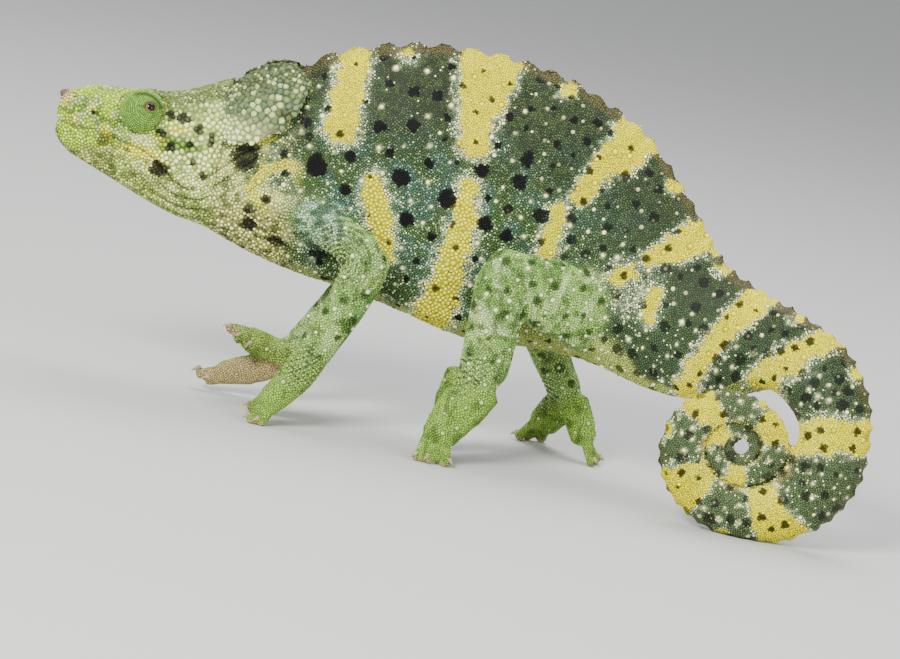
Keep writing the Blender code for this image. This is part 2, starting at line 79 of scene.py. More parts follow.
# Radius of the coil's outer (ridge) and inner (belly) line at each quarter turn.
COIL_OUTER = np.array([49.5, 35.8, 31.0, 21.0, 18.9, 14.6, 13.2, 8.9, 7.6, 6.8, 5.4, 4.4])
COIL_INNER = np.array([20.0, 15.1, 13.7, 9.4, 8.1, 7.3, 6.0, 3.5, 2.6, 2.4, 2.1, 2.0])
TAIL_TIP = COIL_START + 10.7


def box_mm(node):
    """Lowest and highest corner of a CAD node, in millimetres."""
    low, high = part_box(node)
    return np.array(low) / MM, np.array(high) / MM


def middle_mm(node):
    """Middle of a CAD node's box, in millimetres."""
    return 0.5 * np.sum(box_mm(node), axis=0)


# From where the solids were drawn to where they stand, by the neck's front and the horn's middle plane.
SHIFT = np.array([box_mm("neck")[0][0] - SPINE[0][0], sum(box_mm("horn"))[1] / 2, 0.0])


def catmull(table, place):
    """Catmull-Rom values of a table's rows at fractional rows."""
    table = table.reshape(len(table), -1)
    last = len(table) - 1
    i = np.clip(place.astype(int), 0, last - 1)
    t = (place - i)[:, None]
    a, b, c, d = (table[np.clip(i + k, 0, last)] for k in (-1, 0, 1, 2))
    return b + 0.5 * t * (c - a + t * (2 * a - 5 * b + 4 * c - d + t * (3 * (b - c) + d - a)))


def spine(place):
    """Ridge and belly points at stations of the body."""
    place = np.clip(np.atleast_1d(np.asarray(place, float)), 0.0, TAIL_TIP)
    body = catmull(SPINE, np.clip(place, 0, COIL_START))
    ridge = np.stack([body[:, 0], body[:, 4], body[:, 1]], 1)
    belly = np.stack([body[:, 2], body[:, 4], body[:, 3]], 1)
    quarter = np.clip(place - COIL_START, 0, None)
    angle = -0.5 * math.pi * quarter
    spoke = np.stack([np.cos(angle), 0 * angle, np.sin(angle)], 1)
    coiled = (place > COIL_START)[:, None]
    ridge = np.where(coiled, COIL_CENTRE + catmull(COIL_OUTER, quarter) * spoke, ridge)
    belly = np.where(coiled, COIL_CENTRE + catmull(COIL_INNER, quarter) * spoke, belly)
    return ridge + SHIFT, belly + SHIFT


def unit(v):
    """Rows scaled to length one."""
    return v / np.maximum(np.linalg.norm(v, axis=-1, keepdims=True), 1e-9)


def point_tree(points):
    """A search tree of points."""
    tree = KDTree(len(points))
    for i, p in enumerate(points):
        tree.insert(p, i)
    tree.balance()
    return tree


class BodyMap:
    """Finds the station and the height on the body of any point."""

    STEP = 0.02
    LEVELS = 13

    def __init__(self):
        self.u = np.arange(0.0, TAIL_TIP, self.STEP)
        self.ridge, self.belly = spine(self.u)
        middle = 0.5 * (self.ridge + self.belly)
        self.run = np.concatenate([[0], np.cumsum(np.linalg.norm(np.diff(middle, axis=0), axis=1))])
        self.h = np.linspace(0.02, 0.98, self.LEVELS)
        grid = self.belly[:, None] + self.h[None, :, None] * (self.ridge - self.belly)[:, None]
        self.points = grid.reshape(-1, 3)
        self.tree = point_tree(self.points)
        self.thickness = np.linalg.norm(self.ridge - self.belly, axis=1)
        self.up = unit(self.ridge - self.belly)
        self.side = unit(np.cross(self.up, unit(np.gradient(middle, axis=0))))

    def find(self, points):
        """u, h, distance along the body in mm and signed distance from the middle plane."""
        nearest = np.array([self.tree.find(p)[1] for p in points])
        i, j = nearest // self.LEVELS, nearest % self.LEVELS
        offset = points - self.points[nearest]
        slope = np.gradient(self.ridge, axis=0)[i] * self.h[j][:, None]
        slope += np.gradient(self.belly, axis=0)[i] * (1 - self.h[j])[:, None]
        step = np.sum(offset * slope, 1) / np.maximum(np.sum(slope * slope, 1), 1e-9)
        u = np.clip(self.u[i] + np.clip(step, -2, 2) * self.STEP, 0, TAIL_TIP)
        h = self.h[j] + np.sum(offset * self.up[i], 1) / self.thickness[i]
        return u, h, np.interp(u, self.u, self.run), np.sum(offset * self.side[i], 1)


BODY = BodyMap()


def place_on_body(u, h):
    """Points of the body's middle plane."""
    ridge, belly = spine(u)
    return belly + np.asarray(h, float).reshape(-1, 1) * (ridge - belly)


def value_noise(points, size, seed):
    """Smooth noise from 0 to 1 with blobs of about the given size."""
    q = points / size + seed * 17.31
    base = np.floor(q).astype(np.int64)
    t = q - base
    t = t * t * (3 - 2 * t)
    total = np.zeros(len(points))
    for corner in range(8):
        step = np.array([corner & 1, corner >> 1 & 1, corner >> 2 & 1])
        n = base + step
        code = n[:, 0] * 73856093 ^ n[:, 1] * 19349663 ^ n[:, 2] * 83492791 ^ seed * 2654435761
        code = (code ^ code >> 13) * 1274126177 & 0x7FFFFFFF
        weight = np.prod(np.where(step, t, 1 - t), axis=1)
        total += weight * ((code >> 7) % 4096) / 4095
    return total


def ramp(x, low, high):
    """Smooth step from 0 at low to 1 at high; low may be above high."""
    t = np.clip((x - low) / (high - low), 0, 1)
    return t * t * (3 - 2 * t)


def mix(base, colour, share):
    """Blend rows of colour towards another colour by a share for each row."""
    share = np.clip(share, 0, 1)[:, None]
    return base * (1 - share) + colour * share


def layered(base, *layers):
    """Blend colours over a base in order; each comes with its share."""
    for colour, share in layers:
        base = mix(base, colour, share)
    return base


def line_distance(points, line):
    """Distance from 2-D points to a bent line, and the share of its length there."""
    line = np.asarray(line, float)
    best = np.full(len(points), 1e9)
    share = np.zeros(len(points))
    lengths = np.linalg.norm(np.diff(line, axis=0), axis=1)
    total, done = lengths.sum(), 0.0
    for a, b, length in zip(line[:-1], line[1:], lengths):
        t = np.clip((points - a) @ (b - a) / length ** 2, 0, 1)
        distance = np.linalg.norm(points - a - t[:, None] * (b - a), axis=1)
        closer = distance < best
        best = np.where(closer, distance, best)
        share = np.where(closer, (done + t * length) / total, share)
        done += length
    return best, share


# ---------------------------------------------------------------- camera, light and floor
ELEVATION = math.radians(10.0)
ROLL = math.radians(11.5)
CAMERA_DISTANCE = 1.5
LENS = 150.0
SENSOR = 36.0
LOOK_FROM_FEET = np.array([0.0, -34.0, 0.0])   # a point of the ground between the near feet
LOOK_RIGHT = 8.0
LOOK_UP = 52.2
# Lamps: name, place and aim in metres, size, power and colour.
LAMPS = [
    ("key", (-0.55, -1.15, 0.95), (0, 0, 0.08), 0.45, 38.0, (1.0, 0.98, 0.95)),
    ("fill", (0.95, -0.85, 0.55), (0, 0, 0.07), 0.8, 11.0, (0.95, 0.98, 1.0)),
    ("top", (0.1, 0.35, 1.2), (0, 0, 0.08), 0.9, 17.0, (1.0, 1.0, 1.0)),
]
FLOOR_HALF = 6.0         # half the floor's side, in metres


def add_object(name, data):
    """A new object of the scene."""
    made = bpy.data.objects.new(name, data)
    bpy.context.scene.collection.objects.link(made)
    return made


def write_mesh(bm, mesh):
    """Close an edit mesh into a mesh."""
    bm.to_mesh(mesh)
    bm.free()
    return mesh


def add_camera():
    """A long lens, a little above the animal and turned with the slope it stood on."""
    forward = Vector((0, math.cos(ELEVATION), -math.sin(ELEVATION)))
    level_up = Vector((0, math.sin(ELEVATION), math.cos(ELEVATION)))
    level_right = Vector((1, 0, 0))
    right = level_right * math.cos(ROLL) + level_up * math.sin(ROLL)
    up = -level_right * math.sin(ROLL) + level_up * math.cos(ROLL)
    target = Vector((LOOK_FROM_FEET + SHIFT) * MM) + (right * LOOK_RIGHT + up * LOOK_UP) * MM
    camera = add_object("camera", bpy.data.cameras.new("camera"))
    camera.data.lens = LENS
    camera.data.sensor_width = SENSOR
    camera.data.clip_end = 20.0
    rotation = Matrix((right, up, -forward)).transposed()
    camera.matrix_world = Matrix.Translation(target - forward * CAMERA_DISTANCE) @ rotation.to_4x4()
    bpy.context.scene.camera = camera


def add_light(name, place, aim, size, power, colour):
    """A soft square lamp aimed at a point."""
    light = bpy.data.lights.new(name, "AREA")
    light.size = size
    light.energy = power
    light.color = colour
    lamp = add_object(name, light)
    lamp.location = place
    lamp.rotation_euler = (Vector(aim) - Vector(place)).to_track_quat("-Z", "Y").to_euler()


class Look:
    """A Principled material; its nodes take constants or other nodes' sockets as inputs."""

    def __init__(self, name, roughness, specular):
        self.material = bpy.data.materials.new(name)
        self.material.use_nodes = True
        self.tree = self.material.node_tree
        self.shader = self.tree.nodes["Principled BSDF"]
        self.feed(self.shader, Roughness=roughness, Specular_IOR_Level=specular)

    def feed(self, node, *ordered, **named):
        """Set or link inputs in their order or by name, with an underscore for a space."""
        for key, value in [*enumerate(ordered), *named.items()]:
            socket = node.inputs[key if isinstance(key, int) else key.replace("_", " ")]
            if isinstance(value, bpy.types.NodeSocket):
                self.tree.links.new(value, socket)
            else:
                socket.default_value = value

    def add(self, kind, output, *ordered, operation=None, **named):
        """The chosen output of a new node."""
        node = self.tree.nodes.new("ShaderNode" + kind)
        if operation:
            node.operation = operation
        self.feed(node, *ordered, **named)
        return node.outputs[output]

    def tones(self, factor, *stops):
        """Colours between stops, each a position and a colour."""
        colour = self.add("ValToRGB", "Color", Fac=factor)
        elements = colour.node.color_ramp.elements
        for index, (position, tone) in enumerate(stops):
            stop = elements[index] if index < len(elements) else elements.new(position)
            stop.position = position
            stop.color = (*tone, 1)
        return colour


def add_stage():
    """A pale floor with no edge in view, pale surroundings and three soft lamps."""
    bm = bmesh.new()
    bmesh.ops.create_grid(bm, x_segments=2, y_segments=2, size=FLOOR_HALF)
    mesh = write_mesh(bm, bpy.data.meshes.new("floor"))
    floor = add_object("floor", mesh)
    look = Look("floor_pale", 0.85, 0.2)
    grain = look.add("TexNoise", "Fac", Scale=3.0)
    look.feed(look.shader, Base_Color=look.tones(grain, (0, (0.50, 0.50, 0.49)), (1, (0.54, 0.54, 0.53))))
    mesh.materials.append(look.material)
    world = bpy.data.worlds.new("studio")
    bpy.context.scene.world = world
    world.use_nodes = True
    sky = world.node_tree.nodes["Background"]
    sky.inputs["Color"].default_value = (0.86, 0.88, 0.9, 1)
    sky.inputs["Strength"].default_value = 0.75
    for lamp in LAMPS:
        add_light(*lamp)


# ---------------------------------------------------------------- skin
FLESH = sorted(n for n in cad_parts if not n.startswith(("claw_", "horn", "eye_left", "eye_right")))
SIDES = (("left", -1.0), ("right", 1.0))
GROW = 0.22              # closes the joints between the solids
VOXEL = 1.05             # size of the cells that join the solids into one skin
COAT_DEPTH = 0.45        # the scales' height over the skin
SMOOTHING = 0.6          # share of the way to the neighbours' mean in one round
SWELLING = -0.63         # and back, which keeps the volume
SMOOTH_ROUNDS = 26
LIMB_ROUNDS = 22         # more smoothing of the legs
LIMB_LOSS = 0.6          # what that smoothing takes off a leg's radius
RIB_ROUNDS = 60          # smoothing of the body's width along its length
# Regions of the skin: starts of their nodes' names, and rounds of smoothing at their borders.
REGIONS = {
    "head": (("head", "lower_jaw"), 4),
    "turret": (("eye_turret",), 1),
    "lobe": (("occipital_lobe",), 2),
    "neck": (("neck",), 6),
    "trunk": (("trunk",), 6),
    "limb": (("leg_", "foot_"), 12),
    "foot": (("foot_",), 8),
}
GAZE = np.array([0.37, 0.84, 0.40])      # of the right eye; the left one mirrors it
EYE_DEPTH = 6.6          # from the turret's centre to the eyeball's
BALL_ROOM = 0.6          # skin round the eyeball before the lids are drawn
TURRET_RADIUS = 8.9
TURRET_FLATTEN = 0.95    # the turret's depth along the gaze against its width
LID_WIDE = 16.0          # half angles of the lids' opening, seen from the turret's centre
LID_HIGH = 12.0
# Head landmarks (x, z), from the snout back.
MOUTH = [(-177.0, 100.7), (-174.4, 100.6), (-158.0, 100.2), (-147.0, 98.5), (-139.0, 97.3), (-133.5, 95.0),
         (-127.0, 90.6), (-123.0, 87.6), (-120.0, 86.3)]
NOSTRIL = (-160.2, 107.0)
NOSTRIL_RADIUS = 0.9
# Skin folds of the head and neck (x, z), with their depth and half width.
FOLDS = [
    ([(-133.5, 95.0), (-128.0, 89.5), (-122.0, 85.6), (-116.0, 84.6), (-110.0, 87.0)], 1.0, 0.9),
    ([(-134.0, 89.0), (-128.0, 84.0), (-120.0, 80.8), (-112.0, 81.0), (-105.0, 85.0)], 0.9, 0.8),
    ([(-138.0, 84.6), (-130.0, 79.6), (-120.0, 76.4), (-110.0, 77.0), (-103.0, 80.5)], 0.8, 0.8),
    ([(-128.0, 75.2), (-118.0, 72.6), (-108.0, 73.0), (-99.0, 76.0)], 0.5, 0.7),
    ([(-92.0, 108.5), (-97.0, 103.5), (-103.0, 98.0), (-109.0, 92.0), (-113.0, 87.5)], 0.9, 0.8),
    ([(-89.0, 106.5), (-94.0, 100.5), (-100.0, 94.5), (-106.0, 88.5), (-110.0, 84.0)], 0.8, 0.7),
    ([(-86.5, 104.0), (-91.0, 97.5), (-96.5, 91.0), (-102.5, 85.0), (-107.0, 80.0)], 0.7, 0.7),
    ([(-84.0, 101.0), (-88.0, 94.5), (-93.0, 88.0), (-99.0, 82.0)], 0.5, 0.6),
    ([(-94.0, 79.0), (-84.0, 73.5), (-75.0, 69.5), (-66.0, 66.5)], 0.9, 0.9),
    ([(-90.0, 84.0), (-82.0, 78.5), (-74.0, 75.0)], 0.6, 0.8),
]
# Bent joints of the near legs: the wrinkles' centre (x, z), the joint (x, z) and their reach.
NEAR_JOINTS = [
    ((-50.5, 71.0), (-52.0, 74.0), 13.0), ((-71.2, 2.8), (-57.5, 26.5), 8.5),
    ((-3.0, 8.0), (8.5, 38.7), 8.0),
]
WRINKLE_PITCH = 1.8      # from one wrinkle to the next
WRINKLE_DEPTH = 0.42
FLAT_REACH = np.array([1.0, 0.3, 1.0])   # wrinkles run through a limb from side to side
CLEFT = 7.0              # length of the groove between two toes


def node_mesh(name):
    """Points, normals and triangles of a CAD node, with its doubled corners joined."""
    bm = bmesh.new()
    bm.from_mesh(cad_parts[name].data)
    bmesh.ops.remove_doubles(bm, verts=bm.verts, dist=2e-6)
    bmesh.ops.triangulate(bm, faces=bm.faces)
    bm.normal_update()
    points = np.array([v.co for v in bm.verts]) / MM
    normals = np.array([v.normal for v in bm.verts])
    faces = np.array([[v.index for v in f.verts] for f in bm.faces])
    bm.free()
    return points, normals, faces


def surface_tree(points, faces):
    """A search tree of a surface."""
    return BVHTree.FromPolygons([tuple(p) for p in points], [tuple(f) for f in faces])


class Flesh:
    """All flesh solids as one list of triangles, to ask which node a point belongs to."""

    def __init__(self):
        parts = [node_mesh(name) for name in FLESH]
        starts = np.cumsum([0] + [len(points) for points, _, _ in parts])
        self.points = np.concatenate([points for points, _, _ in parts])
        self.normals = np.concatenate([normals for _, normals, _ in parts])
        self.faces = np.concatenate([faces + start for (_, _, faces), start in zip(parts, starts)])
        self.labels = np.repeat(range(len(FLESH)), [len(faces) for _, _, faces in parts])
        self.tree = surface_tree(self.points, self.faces)

    def label(self, points):
        """Index in FLESH of the node nearest to each point."""
        return np.array([self.labels[self.tree.find_nearest(p)[2]] for p in points])


def label_mask(labels, *starts):
    """1 where the label's node name starts with one of the words."""
    chosen = [i for i, name in enumerate(FLESH) if name.startswith(starts)]
    return np.isin(labels, chosen).astype(float)


def mesh_from(name, points, faces):
    """A mesh in metres from millimetre points and faces of equal or mixed size."""
    mesh = bpy.data.meshes.new(name)
    mesh.from_pydata([tuple(p) for p in points * MM], [], [tuple(int(i) for i in f) for f in faces])
    mesh.update()
    return mesh


def read_rows(items, attribute, width, kind=np.float32):
    """An attribute of all items of a mesh, one row each."""
    values = np.empty(len(items) * width, kind)
    items.foreach_get(attribute, values)
    return values.reshape(-1, width)


def read_points(mesh):
    """A mesh's points in millimetres."""
    return read_rows(mesh.vertices, "co", 3).astype(float) / MM


def read_normals(mesh):
    """A mesh's normals."""
    return read_rows(mesh.vertex_normals, "vector", 3).astype(float)


def write_points(mesh, points):
    """Move a mesh's points, given in millimetres."""
    mesh.vertices.foreach_set("co", (points * MM).astype(np.float32).ravel())
    mesh.update()


class Smoother:
    """Averages values over neighbouring vertices of a mesh."""

    def __init__(self, mesh):
        self.edges = read_rows(mesh.edges, "vertices", 2, np.int32)
        self.count = np.bincount(self.edges.ravel(), minlength=len(mesh.vertices))[:, None]

    def average(self, values):
        """Mean of the neighbours' values."""
        a, b = self.edges.T
        total = np.zeros_like(values)
        size = len(values)
        for k in range(values.shape[1]):
            total[:, k] = np.bincount(a, values[b, k], size) + np.bincount(b, values[a, k], size)
        return total / np.maximum(self.count, 1)

    def run(self, values, rounds, share=1.0, swelling=0.0):
        """Rounds of smoothing; the share may vary by vertex."""
        flat = values.ndim == 1
        values = values.reshape(len(values), -1).astype(float)
        strength = np.asarray(SMOOTHING * share, float).reshape(-1, 1)
        for _ in range(rounds):
            values = values + strength * (self.average(values) - values)
            if swelling:
                values = values + strength / SMOOTHING * swelling * (self.average(values) - values)
        return values.ravel() if flat else values


def find_eye(side, sign):
    """Gaze, level axes, eyeball and turret centre of one eye, from the solids."""
    low, high = box_mm("eye_" + side)
    ball = 0.5 * (low + high)
    gaze = unit(GAZE * np.array([1, sign, 1]))
    level = unit(np.cross(gaze, [0, 0, 1]))
    return {"sign": sign, "ball": ball, "radius": 0.5 * (high - low).max(), "centre": ball - gaze * EYE_DEPTH,
            "gaze": gaze, "level": level, "upright": np.cross(level, gaze)}


EYES = {side: find_eye(side, sign) for side, sign in SIDES}


def remeshed_skin(flesh):
    """One closed surface round all the flesh."""
    points, faces = flesh.points + flesh.normals * GROW, flesh.faces
    for eye in EYES.values():
        bm = bmesh.new()
        bmesh.ops.create_icosphere(bm, subdivisions=3, radius=eye["radius"] + BALL_ROOM)
        ball = np.array([v.co for v in bm.verts]) + eye["ball"]
        ball_faces = np.array([[v.index for v in f.verts] for f in bm.faces])
        bm.free()
        faces = np.concatenate([faces, ball_faces + len(points)])
        points = np.concatenate([points, ball])
    source = add_object("flesh", mesh_from("flesh", points, faces))
    remesh = source.modifiers.new("skin", "REMESH")
    remesh.mode = "VOXEL"
    remesh.voxel_size = VOXEL * MM
    evaluated = source.evaluated_get(bpy.context.evaluated_depsgraph_get())
    mesh = bpy.data.meshes.new_from_object(evaluated)
    bpy.data.objects.remove(source)
    mesh.name = "skin"
    return mesh


def refine(mesh, chosen):
    """Split the faces at the chosen points, for finer folds."""
    bm = bmesh.new()
    bm.from_mesh(mesh)
    wanted = chosen(np.array([v.co for v in bm.verts]) / MM)
    edges = [e for e in bm.edges if wanted[e.verts[0].index] and wanted[e.verts[1].index]]
    bmesh.ops.subdivide_edges(bm, edges=edges, cuts=1, use_grid_fill=True)
    write_mesh(bm, mesh).update()


def lid_opening(spin):
    """Half angle of the lids' opening, an almond, at a turn about the gaze from the level."""
    return np.radians(LID_WIDE) / np.sqrt(np.cos(spin) ** 2 + (np.sin(spin) * LID_WIDE / LID_HIGH) ** 2)


def turret_profile(theta, spin, radius):
    """Radius of the turret's skin at an angle from the gaze: a cone of lids round the eyeball."""
    across = TURRET_FLATTEN * TURRET_RADIUS
    flat = 1.0 / np.sqrt((np.cos(theta) / across) ** 2 + (np.sin(theta) / TURRET_RADIUS) ** 2)
    off = EYE_DEPTH * np.sin(theta)
    ball = EYE_DEPTH * np.cos(theta) + np.sqrt(np.maximum(radius ** 2 - off ** 2, 0.0))
    ball = np.where(off < radius, ball, 0.0)
    opening = lid_opening(spin)
    cover = np.maximum(flat, ball + 0.28)
    cover = np.maximum(cover, flat + 0.9 * ramp(theta, np.radians(34), np.radians(14)))
    rim = 0.32 * np.exp(-((theta - opening * 1.16) / np.radians(2.4)) ** 2)
    inside = ramp(theta, opening * 1.02, opening * 0.86)
    return (cover + rim) * (1 - inside) + (ball - 0.9) * inside


def turret_angles(points, eye):
    """Angle from the gaze, turn about it, and distance from the turret's centre."""
    offset = points - eye["centre"]
    radius = np.linalg.norm(offset, axis=1)
    theta = np.arccos(np.clip(offset @ eye["gaze"] / np.maximum(radius, 1e-9), -1, 1))
    return theta, np.arctan2(offset @ eye["upright"], offset @ eye["level"]), radius


def sculpt_turrets(points, turret):
    """Draw the turrets' skin to their profile, lids and all."""
    for eye in EYES.values():
        theta, spin, radius = turret_angles(points, eye)
        wanted = turret_profile(theta, spin, eye["radius"])
        share = turret * (radius < 1.35 * TURRET_RADIUS) * ramp(theta, np.radians(112), np.radians(92))
        points = points + (share * (wanted - radius))[:, None] * unit(points - eye["centre"])
    return points


def claw_root(name):
    """Root of a CAD claw, and its points from the root outwards."""
    points = node_mesh(name)[0]
    foot = middle_mm("foot_" + name[5:-2])
    points = points[np.argsort(np.linalg.norm(points - foot, axis=1))]
    return points[:6].mean(0), points


def toe_bundles():
    """Tips of each bundle's toes in order across it, and the root and end of the clefts between them."""
    feet = [middle_mm(name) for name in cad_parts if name.startswith("foot_")]
    found = []
    for bundle in sorted({name[:-2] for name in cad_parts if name.startswith("claw_")}):
        tips = [claw_root(name)[0] for name in sorted(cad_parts) if name.startswith(bundle)]
        clefts = []
        for a, b in zip(tips[:-1], tips[1:]):
            end = 0.5 * (a + b)
            foot = min(feet, key=lambda middle: np.linalg.norm(middle - a))
            clefts.append((end + CLEFT * unit(foot - end), end))
        found.append((tips, clefts))
    return found


def wrinkle_fans():
    """Wrinkles of the legs: the point they curve about, the joint they lie at, and their reach."""
    found = []
    for name in ("front_right", "hind_right"):
        low, high = box_mm("leg_" + name + "_lower")
        upper = middle_mm("leg_" + name + "_upper")
        bend = 0.5 * (low + high)
        bend[2] = high[2] - 5.0
        bend[0] = 0.5 * (bend[0] + upper[0])
        wrist = 0.5 * (low + high)
        wrist[2] = low[2] + 3.0
        found.append((bend, bend, 6.0))
        found.append((wrist - [0.0, 0.0, 16.0], wrist, 7.0))
    for fan, joint, reach in NEAR_JOINTS:
        centres = [np.array([x, -32.0, z]) + SHIFT for x, z in (fan, joint)]
        found.append((*centres, reach))
    return found


TOES = toe_bundles()
WRINKLES = wrinkle_fans()


def wrinkles(points, limb):
    """Height of the wrinkles on the limbs, from -1 in a furrow to 1 on a fold."""
    total = np.zeros(len(points))
    for fan, joint, reach in WRINKLES:
        along = np.linalg.norm((points - fan) * FLAT_REACH, axis=1)
        near = np.exp(-(np.linalg.norm((points - joint) * FLAT_REACH, axis=1) / reach) ** 2)
        total += near * limb * np.sin(2 * math.pi * along / WRINKLE_PITCH)
    return total


def fold_lines(flat):
    """For each fold: distance from its line, its share of strength there, depth and half width."""
    for line, depth, half in FOLDS:
        distance, share = line_distance(flat, line)
        yield distance, ramp(share, 0.0, 0.2) * ramp(share, 1.0, 0.8), depth, half


def swell(distance, middle, half):
    """A bell curve of the distance, 1 at its middle."""
    return np.exp(-((distance - middle) / half) ** 2)


def head_relief(points, flat, masks):
    """Mouth line, nostril, brows and skin folds: how far they push the skin out, in millimetres."""
    head = masks["head"]
    out = np.zeros(len(points))
    distance, share = line_distance(flat, MOUTH)
    fade = ramp(share, 1.0, 0.93) * (0.4 + 0.6 * share)
    out -= head * fade * (0.6 * swell(distance, 0, 0.45) - 0.2 * swell(distance, 1.7, 0.9))
    pit = np.linalg.norm(flat - NOSTRIL, axis=1)
    out -= head * (1.1 * swell(pit, 0, NOSTRIL_RADIUS) - 0.3 * swell(pit, 1.8, 0.7))
    for eye in EYES.values():
        offset = points - eye["centre"]
        ring = np.linalg.norm(offset, axis=1) - TURRET_RADIUS
        brow = ramp(offset[:, 2] / TURRET_RADIUS, 0.45, 0.85)
        away = (1 - masks["turret"]) * head
        out -= 0.8 * away * (1 - brow) * swell(ring, 0.6, 0.8)
        out += away * (0.45 + 0.5 * brow) * swell(ring - 2.4 + 0.8 * brow, 0, 1.1)
    soft = np.clip(head + masks["neck"], 0, 1)
    for distance, share, depth, half in fold_lines(flat):
        out -= soft * share * depth * (swell(distance, 0, half) - 0.5 * swell(distance, 1.8 * half, half))
    return out


def relief(points, masks):
    """How far folds, wrinkles, toes and unevenness push the skin out, in millimetres."""
    out = head_relief(points, (points - SHIFT)[:, [0, 2]], masks)
    out += WRINKLE_DEPTH * wrinkles(points, masks["limb"])
    for tips, clefts in TOES:
        for tip in tips:
            out += 0.45 * masks["foot"] * swell(np.linalg.norm(points - tip, axis=1), 0, 1.7)
        for root, end in clefts:
            along = np.clip((points - root) @ (end - root) / CLEFT ** 2, 0, 1.2)
            distance = np.linalg.norm(points - root - along[:, None] * (end - root), axis=1)
            out -= 0.9 * masks["foot"] * (along > 0) * swell(distance, 0, 1.0) * ramp(along, 0.0, 0.6)
    out += 0.25 * (value_noise(points, 9.0, 3) - 0.5) * (1 - masks["turret"])
    return out + 0.5 * masks["trunk"] * (value_noise(points * np.array([1.0, 1.0, 0.35]), 12.0, 4) - 0.5)


def drop_ribs(points, smoother, share):
    """Even out the body's width along its length, so that only the ridge keeps the crest's lobes."""
    u, _, _, lateral = BODY.find(points)
    even = smoother.run(lateral, RIB_ROUNDS)
    station = np.clip((u / BODY.STEP).astype(int), 0, len(BODY.u) - 1)
    return points + (share * (even - lateral))[:, None] * BODY.side[station]


def smooth_skin(mesh, labels):
    """Round off the solids' facets, but not the crest, the toes and the free edge of the lobes."""
    points = read_points(mesh)
    smoother = Smoother(mesh)
    torso = label_mask(labels, "neck", "trunk", "tail")
    crest = ramp(BODY.find(points)[1], 0.95, 1.0) * torso
    toes = label_mask(labels, "foot_") * ramp(points[:, 2], 14.0, 8.0)
    flap = label_mask(labels, "occipital_lobe") * ramp(points[:, 0] - SHIFT[0], -98.0, -90.0)
    tail_end = label_mask(labels, "tail_5", "tail_6")
    fine = np.clip(0.9 * crest + 0.8 * toes + 0.6 * flap + tail_end * 0.6, 0, 0.9)
    points = smoother.run(points, SMOOTH_ROUNDS, 1 - fine, SWELLING)
    points = drop_ribs(points, smoother, smoother.run(torso, 8) * (1 - crest))
    limb = smoother.run(label_mask(labels, "leg_"), 4)
    points = smoother.run(points, LIMB_ROUNDS, limb)
    write_points(mesh, points)
    write_points(mesh, points + read_normals(mesh) * (LIMB_LOSS * limb)[:, None])


def on_snout(points):
    """True on the front of the head, which is seen closest."""
    return points[:, 0] < SHIFT[0] - 119.0


def on_lids(points):
    """True round the eyeballs."""
    return np.any([np.linalg.norm(points - eye["ball"], axis=1) < 6.0 for eye in EYES.values()], axis=0)


def make_skin(flesh):
    """The whole skin as one mesh, smoothed, folded and one coat's depth inside the solids."""
    mesh = remeshed_skin(flesh)
    smooth_skin(mesh, flesh.label(read_points(mesh)))
    refine(mesh, on_snout)
    refine(mesh, on_lids)
    points = read_points(mesh)
    labels = flesh.label(points)
    smoother = Smoother(mesh)
    points = smoother.run(points, 4, on_snout(points), SWELLING)
    masks = {name: smoother.run(label_mask(labels, *starts), rounds)
             for name, (starts, rounds) in REGIONS.items()}
    points = sculpt_turrets(points, masks["turret"])
    write_points(mesh, points)
    body = BODY.find(points)
    inset = (COAT_DEPTH + GROW) * (1 - masks["turret"]) * (1 - 0.4 * masks["foot"])
    write_points(mesh, points + read_normals(mesh) * (relief(points, masks) - inset)[:, None])
    mesh.shade_smooth()
    return mesh, labels, masks, body


# ---------------------------------------------------------------- markings
def srgb(red, green, blue):
    """Linear colour of an 8-bit screen colour, as a row."""
    value = np.array([red, green, blue], float) / 255
    return np.where(value > 0.04045, ((value + 0.055) / 1.055) ** 2.4, value / 12.92)


CHARCOAL = srgb(50, 60, 40)
OLIVE = srgb(72, 90, 50)
TEAL = srgb(64, 96, 80)
FLANK_DOT = srgb(150, 178, 140)
FLANK_GREEN = srgb(66, 92, 46)
REAR_GREEN = srgb(60, 78, 52)
BELLY = srgb(170, 184, 92)
YELLOW = srgb(228, 218, 2)
PALE_YELLOW = srgb(236, 228, 64)
WHITE_SCALE = srgb(250, 255, 190)
BLACK = srgb(12, 14, 13)
CREST_BROWN = srgb(86, 80, 46)
NECK_CREAM = srgb(232, 234, 140)
NECK_GREEN = srgb(92, 116, 56)
NECK_OLIVE = srgb(84, 88, 40)
HEAD_GREEN = srgb(84, 122, 30)
HEAD_LIME = srgb(162, 194, 44)
HEAD_PALE = srgb(236, 248, 166)
HEAD_YELLOW = srgb(232, 226, 60)
JAW_GREEN = srgb(48, 70, 20)
TURRET_GREEN = srgb(92, 138, 44)
TURRET_LIGHT = srgb(140, 180, 84)
LOBE_GREY = srgb(104, 124, 80)
LOBE_OLIVE = srgb(76, 86, 50)
LIMB_GREEN = srgb(104, 144, 66)
LIMB_LIGHT = srgb(146, 184, 94)
LIMB_DARK = srgb(44, 70, 24)
LIMB_PALE = srgb(196, 220, 150)
SHOULDER_BLUE = srgb(170, 196, 184)
FOOT_GREEN = srgb(134, 170, 70)
SOLE_TAN = srgb(190, 160, 118)
COIL_PINK = srgb(160, 146, 92)
MOUTH_BROWN = srgb(92, 56, 20)
# painted shade inside the nostril
NOSTRIL_PAINTED_SHADE = srgb(44, 34, 20)
KNEE_HOLLOW = np.array([31.5, 55.0])   # the thigh's pale streaks fan up from here
